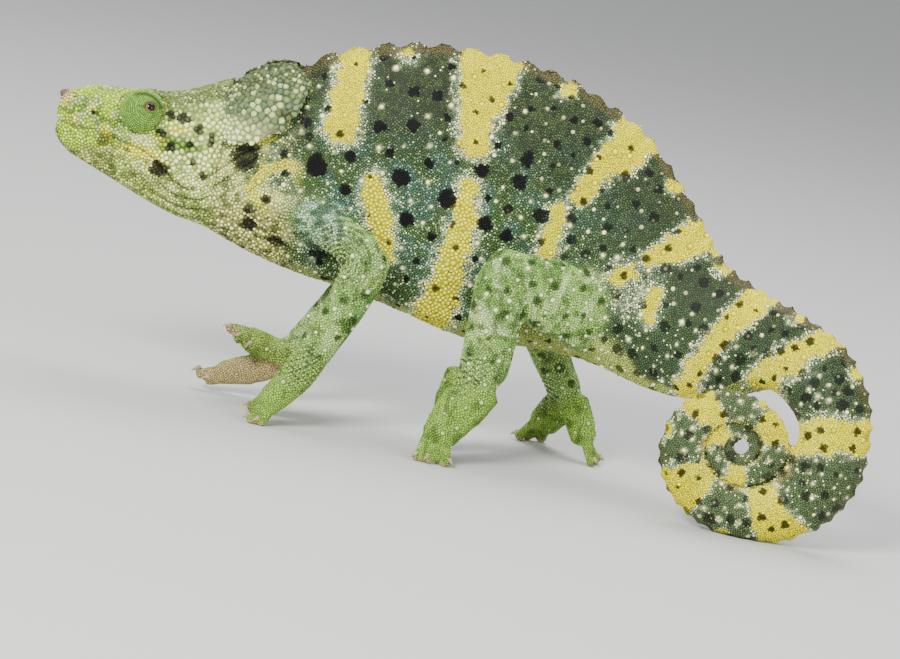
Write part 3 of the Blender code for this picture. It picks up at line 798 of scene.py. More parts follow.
# Yellow bands on the body: points (u, h) from the crest down, then half widths.
BANDS = [
    ([(2.62, 1.08), (2.60, 0.88), (2.52, 0.70)], [7.0, 5.4, 6.4]),
    ([(4.78, 1.06), (4.87, 0.85), (4.98, 0.70)], [6.6, 6.2, 5.6]),
    ([(5.34, 1.06), (5.18, 0.88), (5.02, 0.78)], [7.0, 5.0, 4.4]),
    ([(7.72, 1.06), (7.55, 0.88), (7.20, 0.66)], [6.4, 5.4, 3.8]),
    ([(8.02, 1.02), (7.75, 0.85)], [5.5, 4.0]),
    ([(9.64, 1.06), (9.34, 0.84), (9.00, 0.64)], [8.4, 5.6, 2.8]),
    ([(8.80, 0.53), (8.60, 0.46)], [2.4, 3.2]),
    ([(9.40, 0.54), (9.50, 0.42)], [2.6, 2.8]),
    ([(11.12, 1.06), (11.06, 0.70), (11.04, 0.40), (11.04, 0.02)], [6.4, 5.4, 4.4, 4.6]),
    ([(12.72, 1.06), (12.78, 0.50), (12.88, 0.02)], [5.2, 5.0, 5.2]),
    ([(14.44, 1.06), (14.42, 0.50), (14.42, 0.02)], [6.8, 6.0, 6.0]),
    ([(3.20, 0.48), (3.36, 0.36), (3.50, 0.22)], [3.6, 5.0, 3.6]),
    ([(4.96, 0.55), (4.94, 0.38), (4.72, 0.16), (4.40, -0.04)], [3.6, 5.0, 6.4, 8.0]),
    ([(6.84, 0.56), (6.84, 0.34)], [3.4, 4.4]),
]
# Bands of the coil: quarter turn after its start where each is centred, and half its length.
COIL_BANDS = [(0.60, 0.16), (1.50, 0.20), (2.42, 0.17), (3.52, 0.27), (5.02, 0.20), (6.20, 0.30)]
CREST_PATCHES = [3.62, 6.42, 8.72, 10.06, 12.0, 13.5, 16.0, 17.05, 18.2]   # stations
CREST_PATCH = 2.3        # radius of the yellow patch on the crest between two bands
BAND_EDGE = 1.8          # raggedness of a band's edge
FRINGE = 5.4             # width of the white scales beside a band
# Black spots of the head and neck: x, z, half length, half height. The neck's list takes in the flank's
# largest spots as ovals.
HEAD_SPOTS = [
    (-129.0, 113.0, 1.6, 1.6), (-123.5, 112.8, 2.9, 1.8), (-131.0, 105.4, 2.2, 1.6),
    (-126.5, 100.5, 2.0, 2.0), (-117.0, 109.2, 1.7, 1.7), (-111.0, 106.4, 1.5, 2.5),
    (-106.0, 109.8, 2.0, 2.0), (-119.0, 103.0, 1.5, 1.6), (-117.0, 96.2, 1.5, 1.5),
    (-112.0, 91.5, 1.5, 1.7), (-129.5, 91.0, 4.8, 3.2), (-96.5, 102.0, 5.4, 6.2),
]
NECK_SPOTS = [
    (-91.5, 81.3, 2.4, 1.6), (-90.7, 75.5, 3.4, 2.7), (-78.8, 70.8, 3.5, 2.2), (-81.5, 106.3, 1.6, 1.6),
    (-80.0, 98.7, 1.7, 1.7), (-85.5, 87.0, 2.0, 2.0), (-75.0, 120.5, 2.0, 2.0), (-67.8, 104.5, 4.4, 4.7),
    (-61.0, 69.0, 3.8, 2.0), (-34.0, 107.0, 3.7, 3.5), (-14.0, 102.5, 3.5, 4.0), (-3.0, 116.0, 3.0, 2.8),
]
# Large round spots of the flank: x, z, radius.
FLANK_SPOTS = [
    (-68.0, 104.5, 4.2), (-34.0, 107.0, 3.6), (-14.0, 102.5, 3.6), (-3.0, 116.0, 2.9), (13.0, 114.5, 3.1),
    (-28.5, 91.0, 2.9), (-17.0, 86.0, 2.2), (2.5, 95.5, 3.0), (24.5, 103.0, 3.2), (-55.5, 111.0, 2.4),
    (-54.5, 97.5, 2.4), (-24.0, 114.5, 2.2), (14.0, 124.0, 2.7), (12.0, 92.5, 2.5), (-35.5, 141.0, 2.2),
    (-26.0, 141.5, 2.3), (-46.0, 125.0, 2.6), (-33.0, 128.5, 2.5), (-46.0, 142.0, 2.0), (-61.5, 119.0, 1.9),
]
# Yellow streaks of the neck (x, z), with their half width.
NECK_STREAKS = [
    ([(-86.0, 111.5), (-92.5, 110.0)], 1.6),
    ([(-92.5, 90.0), (-88.0, 98.5), (-80.5, 102.5), (-73.5, 102.0)], 2.2),
    ([(-75.0, 101.0), (-70.5, 95.5), (-68.0, 89.5)], 2.2),
    ([(-90.5, 87.0), (-84.0, 80.5), (-78.0, 77.0)], 2.2),
]
# Dark green and yellow patches of the head: x, z, half length, half height.
GREEN_PATCHES = [(-154.0, 97.0, 2.7, 2.7), (-144.0, 95.5, 1.5, 1.5)]
YELLOW_PATCHES = [(-125.0, 108.0, 4.2, 2.2), (-139.0, 96.2, 8.0, 3.0), (-128.5, 92.5, 3.0, 2.0)]
SEAM_SHADE = 0.42        # the skin between scales against the scales


def band_distance(u, h):
    """Distance outside the nearest yellow band; negative within one."""
    here = place_on_body(u, h)
    best = np.full(len(here), 99.0)

    def add_disc(centre, radius):
        np.minimum(best, np.linalg.norm(here - centre, axis=1) - radius, out=best)

    for line, widths in BANDS:
        knots = np.linspace(0, len(line) - 1, 4 * len(line))
        stations = [np.interp(knots, range(len(line)), values) for values in (*zip(*line), widths)]
        for centre, half in zip(place_on_body(*stations[:2]), stations[2]):
            add_disc(centre, half)
    quarter = u - COIL_START
    lever = np.linalg.norm(here - (COIL_CENTRE + SHIFT), axis=1) * 0.5 * math.pi
    for centre, half in COIL_BANDS:
        distance = (np.abs(quarter - centre) - half) * lever
        best = np.where(quarter > 0, np.minimum(best, distance), best)
    for station in CREST_PATCHES:
        add_disc(place_on_body([station], [0.98])[0], CREST_PATCH)
    return best


def spot_field(flat, spots, wobble):
    """1 inside a black spot, falling to 0 over its ragged edge."""
    found = np.zeros(len(flat))
    for x, z, long, high in spots:
        reach = np.sqrt(((flat[:, 0] - x) / long) ** 2 + ((flat[:, 1] - z) / high) ** 2)
        found = np.maximum(found, ramp(reach + wobble, 1.12, 0.92))
    return found


class Spots:
    """Black spots or white tubercles scattered over the body, each a centre with a radius."""

    def __init__(self, centres, radii):
        self.centres = centres
        self.radii = radii
        self.tree = point_tree(centres)

    def depth(self, points):
        """Distance from the nearest centre over that spot's radius."""
        found = [self.tree.find(p)[1:] for p in points]
        return np.array([distance / self.radii[index] for index, distance in found])


def crown_share(x, z, unevenness=0.0):
    """1 above the line from the eye to the top of the lobe, 0 below it."""
    return ramp(z - 116.0 - 0.3 * (x + 128.0) + unevenness, -1.0, 2.5) * ramp(x, -134.0, -128.0)


def jaw_share(x, z):
    """1 on the lower jaw, 0 above the mouth."""
    return ramp(z - 0.2 * (x + 140), 98.0, 94.0)


class Canvas:
    """Places to be painted, with their noise and their own chances."""

    def __init__(self, places, spots, rng, coat):
        points = places.points
        self.u, self.h = places.body[:2]
        self.under = (1 - self.h) * np.interp(self.u, BODY.u, BODY.thickness)
        self.own = points - SHIFT
        self.flat = self.own[:, [0, 2]]
        self.normals = places.normals
        self.fields = places.fields
        self.coat = coat
        self.blob = value_noise(points, 7.0, 11)
        self.fine = value_noise(points, 2.6, 12)
        self.broad = value_noise(points, 22.0, 13)
        self.streak = value_noise(points * np.array([1.0, 1.0, 0.2]), 1.7, 14)
        fan = self.flat - KNEE_HOLLOW
        polar = np.stack([14.0 * np.arctan2(fan[:, 0], fan[:, 1]), 0.4 * points[:, 1],
                          0.15 * np.linalg.norm(fan, axis=1)], 1)
        self.fan = value_noise(polar, 1.6, 15) * ramp(self.own[:, 0], 0.0, 4.0)
        self.roll = rng.random(len(points))
        self.roll2 = rng.random(len(points))
        self.wobble = 0.5 * (self.fine - 0.5) + 0.25 * (self.roll - 0.5)
        self.black = spots["black"].depth(points) + self.wobble
        self.white = spots["white"].depth(points) + self.wobble
        # strength of each scale's painted highlight and painted shade
        self.contrast = np.ones(len(points))

    def plain(self, colour):
        """Every place in one colour."""
        return np.tile(colour, (len(self.u), 1))

    def near(self, x, z, long, high):
        """Distance from a landmark in units of its half length and half height."""
        return np.hypot((self.flat[:, 0] - x) / long, (self.flat[:, 1] - z) / high)


def paint_body(c):
    """Trunk and tail: charcoal above, teal below, yellow bands fringed with white, spots and rosettes."""
    rear = ramp(c.u, 5.0, 10.0)
    coil = ramp(c.u, 13.0, 16.0)
    belly = 0.04 + 0.14 * ramp(c.u, 5.0, 6.0) * ramp(c.u, 10.5, 9.0)
    crest = ramp(c.under + 1.6 * (c.fine - 0.5), 3.6, 1.6) * ramp(c.u, 0.8, 1.6) * (1 - 0.8 * coil)
    high = ramp(c.u, 4.6, 6.6) * ramp(c.h, 0.5, 0.72) * (1 - coil)
    pale_share = 0.02 + 0.05 * ramp(c.h, 0.6, 0.3) + 0.02 * coil - 0.02 * high
    bands = band_distance(c.u, c.h) + BAND_EDGE * 2 * (c.fine - 0.5) + 0.6 * (c.roll - 0.5)
    outside = bands > 0
    wide = FRINGE * (1 - 0.45 * coil) * (1 - 0.25 * high)
    cloud = 0.75 * ramp(c.near(67.0, 82.0, 15.0, 12.0) + c.wobble, 1.2, 0.5)
    haze = np.maximum(ramp(bands, wide, 0.0), cloud)
    haze = haze * (1 - 0.8 * crest) * outside * (c.coat + 0.4 * (1 - c.coat))
    rosette = ramp(c.white * (1 + 0.7 * high), 1.15, 0.85) * (1 - crest)
    inside = ramp(bands, 0.35, -0.35)
    pale = ramp(c.h, 0.62, 0.2) * 0.7 + 0.15 * ramp(bands, -3.0, -0.5)
    yellow = mix(c.plain(YELLOW), PALE_YELLOW, pale * (0.4 + 0.9 * c.roll))
    dark = ramp(c.black * (1 + 0.3 * inside - 0.2 * rear), 1.08, 0.92)
    # less painted highlight and painted shade on the scales of the yellow bands
    c.contrast = 1 - inside * (0.7 - 0.45 * ramp(c.h, 0.66, 0.5) * (1 - rear))
    return layered(
        c.plain(TEAL),
        (FLANK_GREEN, ramp(c.blob, 0.35, 0.65)),
        (REAR_GREEN, rear),
        (FLANK_DOT, 0.8 * c.coat * (c.roll2 > 0.72) * (1 - rear)),
        (CHARCOAL, ramp(c.h + 0.2 * (c.blob - 0.5), 0.46, 0.84) * (1 - 0.25 * rear)),
        (OLIVE, (0.7 - 0.3 * rear) * ramp(c.fine + 0.6 * (c.roll - 0.5), 0.42, 0.85)),
        (BELLY, ramp(c.h + 0.10 * (c.blob - 0.5) - belly, 0.04, -0.06) * ramp(c.u, 13.5, 11.5)),
        (LOBE_GREY, 0.45 * coil),
        (COIL_PINK, coil * ramp(c.h + 0.12 * (c.fine - 0.5), 0.12, 0.0)),
        (CREST_BROWN, crest * (0.7 + 0.3 * c.roll)),
        (WHITE_SCALE, 0.6 * c.coat * (c.roll2 < pale_share)),
        (FLANK_DOT, 0.5 * haze),
        (WHITE_SCALE, (0.25 + 0.65 * c.roll) * (c.roll2 < 0.8 * haze)),
        (WHITE_SCALE, rosette * (0.45 + 0.55 * c.roll) * (1 - 0.65 * high) * outside),
        (yellow, inside),
        (BLACK, dark * (1 - 0.06 * inside - 0.22 * rear * (1 - inside)) * (1 - crest)),
    )


def paint_neck(c):
    """Cream and green neck with yellow streaks, and a dappled throat."""
    x, z = c.flat.T
    dusk = ramp(x + 0.5 * (z - 95), -96.0, -80.0) * ramp(c.blob, 0.3, 0.6)
    dusk = np.maximum(dusk, ramp(z, 102, 114) * ramp(c.blob, 0.2, 0.5))
    streak = np.zeros(len(x))
    for line, half in NECK_STREAKS:
        distance, _ = line_distance(c.flat, line)
        streak = np.maximum(streak, ramp(distance + 1.6 * (c.fine - 0.5), half + 0.6, half - 0.6))
    throat = ramp(z - 0.06 * (x + 100), 87.0, 78.0)
    return layered(
        c.plain(NECK_CREAM),
        (NECK_GREEN, 0.9 * ramp(c.fine + 0.4 * (c.roll - 0.5), 0.5, 0.75)),
        (TEAL, 0.85 * dusk * (c.roll2 > 0.25)),
        (HEAD_PALE, 0.7 * (c.roll2 < 0.22)),
        (HEAD_YELLOW, streak * (0.65 + 0.35 * c.roll)),
        (mix(c.plain(NECK_OLIVE), NECK_CREAM, c.roll), throat * 0.9),
        (JAW_GREEN, throat * ramp(c.fine, 0.6, 0.8) * 0.8),
    )


def paint_turrets(c):
    """Ringed green turrets, with painted shade in a crease over the top and in the corners of the lids."""
    ring = mix(c.plain(TURRET_GREEN), TURRET_LIGHT, 0.3 + 0.4 * c.roll)
    for eye in EYES.values():
        own_side = c.own[:, 1] * eye["sign"] > 0
        centre = eye["centre"] - SHIFT
        x, z = (c.flat - centre[[0, 2]]).T
        turn = np.degrees(np.arctan2(z, x))
        arc = ramp(turn, 5.0, 40.0) * ramp(turn, 135.0, 110.0) * own_side
        # painted shade in the skin fold over the top of the turret
        painted_crease_shade = arc * swell(np.hypot(x, z), 0.87 * TURRET_RADIUS, 0.5)
        ring = mix(ring, JAW_GREEN, 0.95 * painted_crease_shade)
        pupil = centre + eye["gaze"] * (EYE_DEPTH + 3.0)
        x, z = (c.flat - pupil[[0, 2]]).T
        across = np.abs(x)
        # painted shade in the corners of the lids
        corner = swell(z + 0.12 * across, 0, 0.45) * ramp(across, 2.4, 3.0) * ramp(across, 6.5, 3.5)
        ring = mix(ring, JAW_GREEN, 0.8 * corner * own_side)
    return ring


def paint_lobes(c):
    """Grey and olive plates, paler below and brown at the free edge."""
    x, z = c.flat.T
    rim = ramp(np.abs(c.normals[:, 1]), 0.5, 0.2) * ramp(x, -100.0, -92.0)
    return layered(
        c.plain(LOBE_GREY),
        (HEAD_PALE, ramp(z + 6 * (c.blob - 0.5), 119.0, 109.0) * 0.85),
        (LOBE_OLIVE, ramp(z + 8 * (c.blob - 0.5) - 0.3 * (x + 90), 122.0, 134.0) * 0.8),
        (LOBE_OLIVE, 0.9 * ramp(c.near(-84.0, 123.5, 1.0, 1.0), 5.0, 2.5)),
        (HEAD_PALE, 0.45 * c.roll2 * (c.roll2 > 0.7)),
        (TEAL, 0.45 * (c.roll2 < 0.2)),
        (CREST_BROWN, 0.35 * rim),
    )


def paint_head(c):
    """Lime snout, pale plates on the temple, dappled jaw, ringed green turrets and olive lobes."""
    x, z = c.flat.T
    temple = ramp(x, -136.0, -124.0)
    snout = 1 - temple
    jaw = jaw_share(x, z) * (1 - 0.6 * temple)
    low = ramp(z + 0.5 * (x + 140), 92.0, 86.0)
    tone = layered(
        c.plain(HEAD_LIME),
        (HEAD_GREEN, ramp(c.blob + 0.5 * (c.fine - 0.5), 0.40, 0.62)),
        (HEAD_PALE, 0.3 * ramp(c.fine, 0.5, 0.75) * snout),
        (HEAD_YELLOW, 0.5 * ramp(c.blob, 0.62, 0.8) * snout),
        (HEAD_GREEN, temple * 0.6 * (c.roll2 > 0.7)),
        (HEAD_PALE, temple * (0.1 + 0.9 * c.roll) * ramp(c.blob, 0.8, 0.4)),
        (HEAD_PALE, snout * 0.45 * (c.roll2 < 0.14)),
        (NECK_CREAM, jaw * (0.2 + 0.75 * c.roll)),
        (HEAD_GREEN, 0.7 * jaw * (c.roll2 < 0.35)),
    )
    tone = tone * (1 + 0.7 * jaw * (c.roll - 0.45))[:, None]
    tone = mix(tone, JAW_GREEN, jaw * low * ramp(c.fine + 1.0 * (c.roll - 0.5), 0.5, 0.8) * 0.85)
    for patch in YELLOW_PATCHES:
        tone = mix(tone, HEAD_YELLOW, 0.85 * ramp(c.near(*patch) + c.wobble, 1.2, 0.6))
    for patch in GREEN_PATCHES:
        tone = mix(tone, JAW_GREEN, 0.8 * ramp(c.near(*patch) + c.wobble, 1.2, 0.7))
    crown = np.maximum(crown_share(x, z, 4.0 * (c.blob - 0.5)),
                       ramp(c.normals[:, 2], 0.3, 0.7) * ramp(x, -150.0, -134.0))
    olive = mix(mix(c.plain(LOBE_OLIVE), NECK_GREEN, c.roll), HEAD_PALE, 0.5 * (c.roll2 > 0.86))
    mouth, along = line_distance(c.flat, MOUTH)
    head, turret = c.fields["head"], c.fields["turret"]
    return layered(
        tone,
        (HEAD_PALE, 0.6 * ramp(c.near(-138.0, 101.0, 6.0, 3.0) + c.wobble, 1.2, 0.5)),
        (SOLE_TAN, ramp(x, -168.0, -174.0) * ramp(z, 106.0, 110.0) * 0.8),
        (olive, 0.85 * crown),
        (paint_turrets(c), turret),
        (paint_lobes(c), c.fields["lobe"]),
        (MOUTH_BROWN, head * ramp(mouth, 0.6, 0.3) * (1 - turret) * (0.35 + 0.55 * along)),
        # painted shade inside the nostril
        (NOSTRIL_PAINTED_SHADE, head * ramp(c.near(*NOSTRIL, 1.3, 0.8), 1.0, 0.6)),
    )


def paint_legs(c):
    """Green legs with dark blotches and round pale scales, lighter feet, tan soles, painted shade in the
    wrinkles' furrows and a painted highlight on their folds.
    """
    x, y, z = c.own.T
    foot, fold = c.fields["foot"], c.fields["wrinkle"]
    lower = ramp(z, 60.0, 45.0)
    shoulder = ramp(c.near(-62.0, 84.5, 1.0, 1.0) + 8 * (c.blob - 0.5), 13.0, 5.0)
    return layered(
        c.plain(LIMB_GREEN),
        (LIMB_LIGHT, ramp(c.blob + 0.3 * (c.fine - 0.5), 0.35, 0.7)),
        (LIMB_PALE, 0.35 * lower * ramp(y, -10.0, 10.0)),
        (LIMB_LIGHT, 0.5 * lower * ramp(x, -20.0, 0.0)),
        (FOOT_GREEN, foot),
        (LIMB_PALE, 0.5 * (c.roll2 < 0.12) * (1 - foot)),
        (LIMB_PALE, 0.4 * ramp(c.streak, 0.6, 0.85) * (1 - foot) * ramp(x, 4.0, 0.0)),
        (LIMB_PALE, 0.75 * ramp(c.fan, 0.52, 0.75) * ramp(z, 48.0, 56.0)),
        (LIMB_DARK, 0.55 * ramp(c.streak, 0.36, 0.12)),
        (LIMB_DARK, 0.6 * ramp(c.fine, 0.62, 0.8) * (1 - 0.5 * foot)),
        (LIMB_DARK, ramp(c.black, 1.5, 0.75) * (1 - 0.5 * foot) * 0.9),
        # painted shade in the furrows of the joints' wrinkles and a painted highlight on their folds
        (LIMB_DARK, np.clip(-1.5 * fold, 0, 0.9)),
        (LIMB_PALE, np.clip(0.8 * fold, 0, 0.5)),
        (LIMB_PALE, ramp(c.white, 1.15, 0.85) * (1 - 0.7 * foot)),
        (TEAL, shoulder * ramp(c.fine, 0.4, 0.65) * 0.85),
        (SHOULDER_BLUE, shoulder * (c.roll > 0.45) * c.roll * ramp(c.fine, 0.62, 0.4)),
        (SOLE_TAN, c.fields["sole"] * (0.75 + 0.25 * c.roll)),
    )


def paint(places, spots, rng, coat):
    """Colour of scales or of the skin between, and the strength of each scale's painted highlight and painted
    shade; coat is 1 or 0.
    """
    c = Canvas(places, spots, rng, coat)
    fields = c.fields
    x, z = c.flat.T
    bare = 1 - fields["limb"]
    neck = ramp(x + 9 * (c.blob - 0.5) + 0.12 * (z - 95), -68.0, -84.0)
    neck *= ramp(z, 126.0, 116.0) * bare * ramp(c.u, 4.0, 3.0)
    nape = ramp(x, -84.0, -90.0) * ramp(z, 110.0, 116.0) * bare
    head = np.clip(fields["head"] + fields["lobe"] + fields["turret"], 0, 1)
    cheek = (np.abs(c.own[:, 1]) > 3.0) * bare * (1 - fields["lobe"]) * (1 - fields["turret"])
    colour = layered(
        paint_body(c),
        (paint_neck(c), neck),
        (mix(c.plain(LOBE_OLIVE), NECK_GREEN, c.roll), nape),
        (paint_head(c), head),
        (BLACK, 0.93 * cheek * spot_field(c.flat, HEAD_SPOTS + NECK_SPOTS, c.wobble)),
        (paint_legs(c), fields["limb"]),
    )
    # painted shade along the skin folds of the head and neck: the colour is darkened in each fold
    painted_crease_shade = np.zeros(len(x))
    for distance, share, depth, half in fold_lines(c.flat):
        painted_crease_shade = np.maximum(painted_crease_shade, depth * share * swell(distance, 0, 0.9 * half))
    painted_crease_shade *= bare * np.clip(fields["head"] + fields["neck"], 0, 1)
    colour = colour * (1 - 0.6 * painted_crease_shade)[:, None]
    inward = ramp(-c.normals[:, 1] * np.sign(c.own[:, 1]), -0.3, 0.1)
    # strength of each scale's painted highlight and painted shade by region, least on the lobes' inner faces
    # and the nape
    contrast = layered(
        c.contrast[:, None],
        (1.1, np.clip(head + neck, 0, 1)),
        (0.9, fields["turret"]),
        (0.8, fields["limb"]),
        (0.15, np.maximum(fields["lobe"] * inward, nape)),
    )[:, 0]
    colour = colour * (0.78 + 0.44 * c.roll)[:, None] * (0.9 + 0.2 * c.broad)[:, None]
    return np.clip(colour * (1.0 if coat else SEAM_SHADE), 0, 1), contrast


# ---------------------------------------------------------------- scales
GAP = 0.92               # a scale's reach towards the border with its neighbour
FREE_SIDE = 0.56         # its reach over a free edge, against its size
BASE_SINK = 0.14         # how far a scale's root lies under the skin
TOP_PAINTED_HIGHLIGHT = 0.6           # painted highlight: how much lighter a scale's middle is painted than its shoulders
ROOT_PAINTED_SHADE = 0.8          # painted shade: how much darker its root is painted, as shade between the scales
PATCH = 0.0015           # half the width of a scale's patch on the unwrap
DOME = 0.24              # a scale's height against its size
SHOULDER_OUT = 0.76      # place of the ring between a scale's top and root, against its outline
SHOULDER_UP = 0.68       # and against its height; both are larger on the flat plates of the head and lobes
FREE_FROM = 0.86         # a border this far away, against the scale's size, is a free edge
LEAST_REACH = 0.3        # a scale's least reach, against its size
NO_BORDER = 9.0          # distance of a border that is not there
DARTS = 9                # tries for each scale's place
CROWDING = 0.93          # least distance of two darts against the spacing wanted
DART_CELL = 1.4          # side of the cells in which darts look for their neighbours
RELAX_ROUNDS = 3
ROW_HEIGHT = 0.87        # distance between rows of scales, against the distance of two neighbours
SPOT_SPACING = 8.4
TUBERCLE_SPACING = 6.6
TUBERCLE_SIZE = 1.65     # a tubercle's width against the radius of its white rosette
TURRET_PITCH = 1.0       # distance between the rings of granules on a turret
COAT_LIMIT = 8500        # scales in one piece
# Pieces of the coat: name, material slot, starts of the names of the nodes under it, sides of a scale.
COAT = [
    ("scales_body_", "body_hide", ("neck", "trunk"), 5),
    ("scales_tail_", "body_hide", ("tail",), 5),
    ("scales_legs_", "limb_hide", ("leg_", "foot_"), 5),
    ("scales_head_", "head_hide", ("head", "lower_jaw", "eye_turret"), 6),
    ("scales_lobes_", "head_hide", ("occipital_lobe",), 10),
]


class Skin:
    """Arrays of the skin mesh: points, normals, triangles, soft region weights and body places."""

    def __init__(self, mesh, labels, fields, body):
        self.mesh = mesh
        self.points = read_points(mesh)
        self.normals = read_normals(mesh)
        mesh.calc_loop_triangles()
        self.triangles = read_rows(mesh.loop_triangles, "vertices", 3, np.int32)
        self.labels = labels
        self.fields = fields
        self.body = body
        self.tree = surface_tree(self.points, self.triangles)

    def sample(self, density, rng):
        """Random places, each a triangle and corner weights; density is per square millimetre by vertex."""
        a, b, c = (self.points[self.triangles[:, k]] for k in range(3))
        area = 0.5 * np.linalg.norm(np.cross(b - a, c - a), axis=1)
        number = rng.poisson(area * density[self.triangles].mean(1))
        triangle = np.repeat(np.arange(len(number)), number)
        r, s = rng.random((2, len(triangle)))
        fold = r + s > 1
        r, s = np.where(fold, 1 - r, r), np.where(fold, 1 - s, s)
        return triangle, np.stack([1 - r - s, r, s], 1)

    def at(self, values, triangle, weights):
        """Values of the skin's vertices, blended at places."""
        corner = values[self.triangles[triangle]]
        if values.ndim == 1:
            return np.sum(corner * weights, axis=1)
        return np.sum(corner * weights[:, :, None], axis=1)

    def settle(self, points):
        """Nearest places on the skin to loose points."""
        found = [self.tree.find_nearest(p) for p in points]
        triangle = np.array([f[2] for f in found])
        place = np.array([f[0] for f in found])
        a, b, c = (self.points[self.triangles[triangle, k]] for k in range(3))
        v0, v1, v2 = b - a, c - a, place - a
        d00, d01, d11 = (np.sum(x * y, 1) for x, y in ((v0, v0), (v0, v1), (v1, v1)))
        d20, d21 = np.sum(v2 * v0, 1), np.sum(v2 * v1, 1)
        base = np.maximum(d00 * d11 - d01 * d01, 1e-12)
        v = (d11 * d20 - d01 * d21) / base
        w = (d00 * d21 - d01 * d20) / base
        return triangle, np.clip(np.stack([1 - v - w, v, w], 1), 0, 1)


def region_weights(masks, points, normals, labels):
    """The skin's region weights with the soles of the feet and the wrinkles of the joints added."""
    x, _, z = (points - SHIFT).T
    palm = label_mask(labels, "foot_front_right") * ramp(-normals[:, 1] - 0.5 * normals[:, 2], -0.1, 0.4)
    palm *= 1 - 0.85 * (ramp(z, 16.0, 18.5) * ramp(x, -89.0, -86.5))
    sole = np.maximum(0.9 * palm, masks["foot"] * ramp(z, 1.8, 0.6))
    return {**masks, "sole": sole, "wrinkle": wrinkles(points, masks["limb"])}


def scale_spacing(skin):
    """Distance between the middles of neighbouring scales."""
    u, h = skin.body[:2]
    x, _, z = (skin.points - SHIFT).T
    fields = skin.fields
    lower_band = ramp(band_distance(u, h), 0.5, -0.5) * ramp(h, 0.64, 0.5) * ramp(u, 6.5, 5.5)
    neck = ramp(x, -66.0, -84.0) * ramp(u, 4.0, 3.0)
    temple = ramp(x, -138.0, -122.0) * ramp(z, 90.0, 96.0)
    broad = ramp(x, -112.0, -94.0) * ramp(np.abs(skin.normals[:, 1]), 0.35, 0.75)
    broad *= ramp(z - 0.3 * (x + 90), 140.0, 128.0)
    spacing = 0.90 - 0.04 * ramp(u, 8.0, 12.0) - 0.06 * ramp(u, 16.5, 20.0) - 0.06 * ramp(u, 20.0, 25.0)
    spacing += 0.5 * lower_band + 0.12 * ramp(h, 0.3, 0.1) * ramp(u, 9.0, 7.0)
    spacing += neck * (0.18 + 0.34 * ramp(z, 92.0, 80.0))
    limb = 0.98 - 0.04 * fields["foot"] - 0.15 * ramp(z, 12.0, 5.0)
    spacing += fields["limb"] * (limb - spacing)
    head = 1.3 + 0.75 * temple - 0.05 * jaw_share(x, z) * (1 - temple)
    spacing += fields["head"] * (head - spacing)
    spacing -= 0.7 * crown_share(x, z) * fields["head"]
    spacing += fields["lobe"] * (1.25 + 1.2 * broad - spacing)
    return spacing + fields["turret"] * (0.92 - spacing)


def flank_places(skin):
    """The flank's large spots on both sides of the skin, each a place with its radius."""
    found = []
    for x, z, radius in FLANK_SPOTS:
        for _, sign in SIDES:
            start = np.array([x, 60.0 * sign, z]) + SHIFT
            place = skin.tree.ray_cast(Vector(start), Vector((0.0, -sign, 0.0)))[0]
            if place is not None:
                found.append((np.array(place), radius))
    return found


def throw(points, spacing, order, taken, cell):
    """Keep points in the given order, each at least its spacing from those kept before."""
    grid = {}
    where = points.tolist()
    need = spacing.tolist()
    keys = np.floor(points / cell).astype(int).tolist()
    for (x, y, z), size in taken:
        key = (int(x // cell), int(y // cell), int(z // cell))
        grid.setdefault(key, []).append((x, y, z, size))
    largest = max(size for _, size in taken)

    def blocked(x, y, z, d, kx, ky, kz):
        reach = int(math.ceil(max(d, 0.5 * (d + largest)) / cell))
        for ax in range(kx - reach, kx + reach + 1):
            for ay in range(ky - reach, ky + reach + 1):
                for az in range(kz - reach, kz + reach + 1):
                    for qx, qy, qz, size in grid.get((ax, ay, az), ()):
                        limit = d if size < d else 0.5 * (d + size)
                        if (qx - x) ** 2 + (qy - y) ** 2 + (qz - z) ** 2 < limit * limit:
                            return True
        return False

    kept = []
    for i in order.tolist():
        if not blocked(*where[i], need[i], *keys[i]):
            kept.append(i)
            grid.setdefault(tuple(keys[i]), []).append((*where[i], need[i]))
    return np.array(kept)


def scatter_spots(skin, rng):
    """Black spots and white tubercles in loose rows over the body, with the largest in set places."""
    plain = np.clip(1 - skin.fields["head"] - skin.fields["turret"] - skin.fields["lobe"], 0, 1) > 0.6
    found = {}
    large = flank_places(skin)
    for name, gap, least, most in (("black", SPOT_SPACING, 1.0, 2.0), ("white", TUBERCLE_SPACING, 0.9, 1.5)):
        triangle, weights = skin.sample(4.0 / gap ** 2 * plain, rng)
        points = skin.at(skin.points, triangle, weights)
        radii = least + (most - least) * rng.random(len(points))
        taken = [(p, gap + r if name == "black" else 2 * r) for p, r in large]
        station = skin.at(skin.body[0], triangle, weights)
        apart = gap * (1 - 0.22 * ramp(station, 4.0, 7.0) - 0.14 * ramp(station, 10.0, 14.0))
        kept = throw(points, apart, rng.permutation(len(points)), taken, gap)
        points, radii = points[kept], radii[kept]
        if name == "black":
            points = np.concatenate([[p for p, _ in large], points])
            radii = np.concatenate([[r for _, r in large], radii])
        found[name] = Spots(points, radii)
    return found


def row_keys(skin):
    """Place of each vertex along its part of the body, across which the rows of scales run."""
    key = skin.body[2].copy()
    for label, name in enumerate(FLESH):
        chosen = skin.labels == label
        own = skin.points[chosen]
        if name.startswith(("leg_", "foot_")):
            middle = own.mean(0)
            axis = np.linalg.svd(own[::7] - middle, full_matrices=False)[2][0]
            key[chosen] = 1000.0 + 100.0 * label + (own - middle) @ axis
        elif name.startswith("eye_turret"):
            theta = turret_angles(own, EYES[name.split("_")[2]])[0]
            key[chosen] = 1000.0 + 100.0 * label + theta * TURRET_RADIUS
        elif name.startswith("occipital_lobe"):
            key[chosen] = 1000.0 + 100.0 * label + own[:, 0]
        elif name in ("head", "lower_jaw"):
            key[chosen] = 900.0 + own[:, 0]
    return key


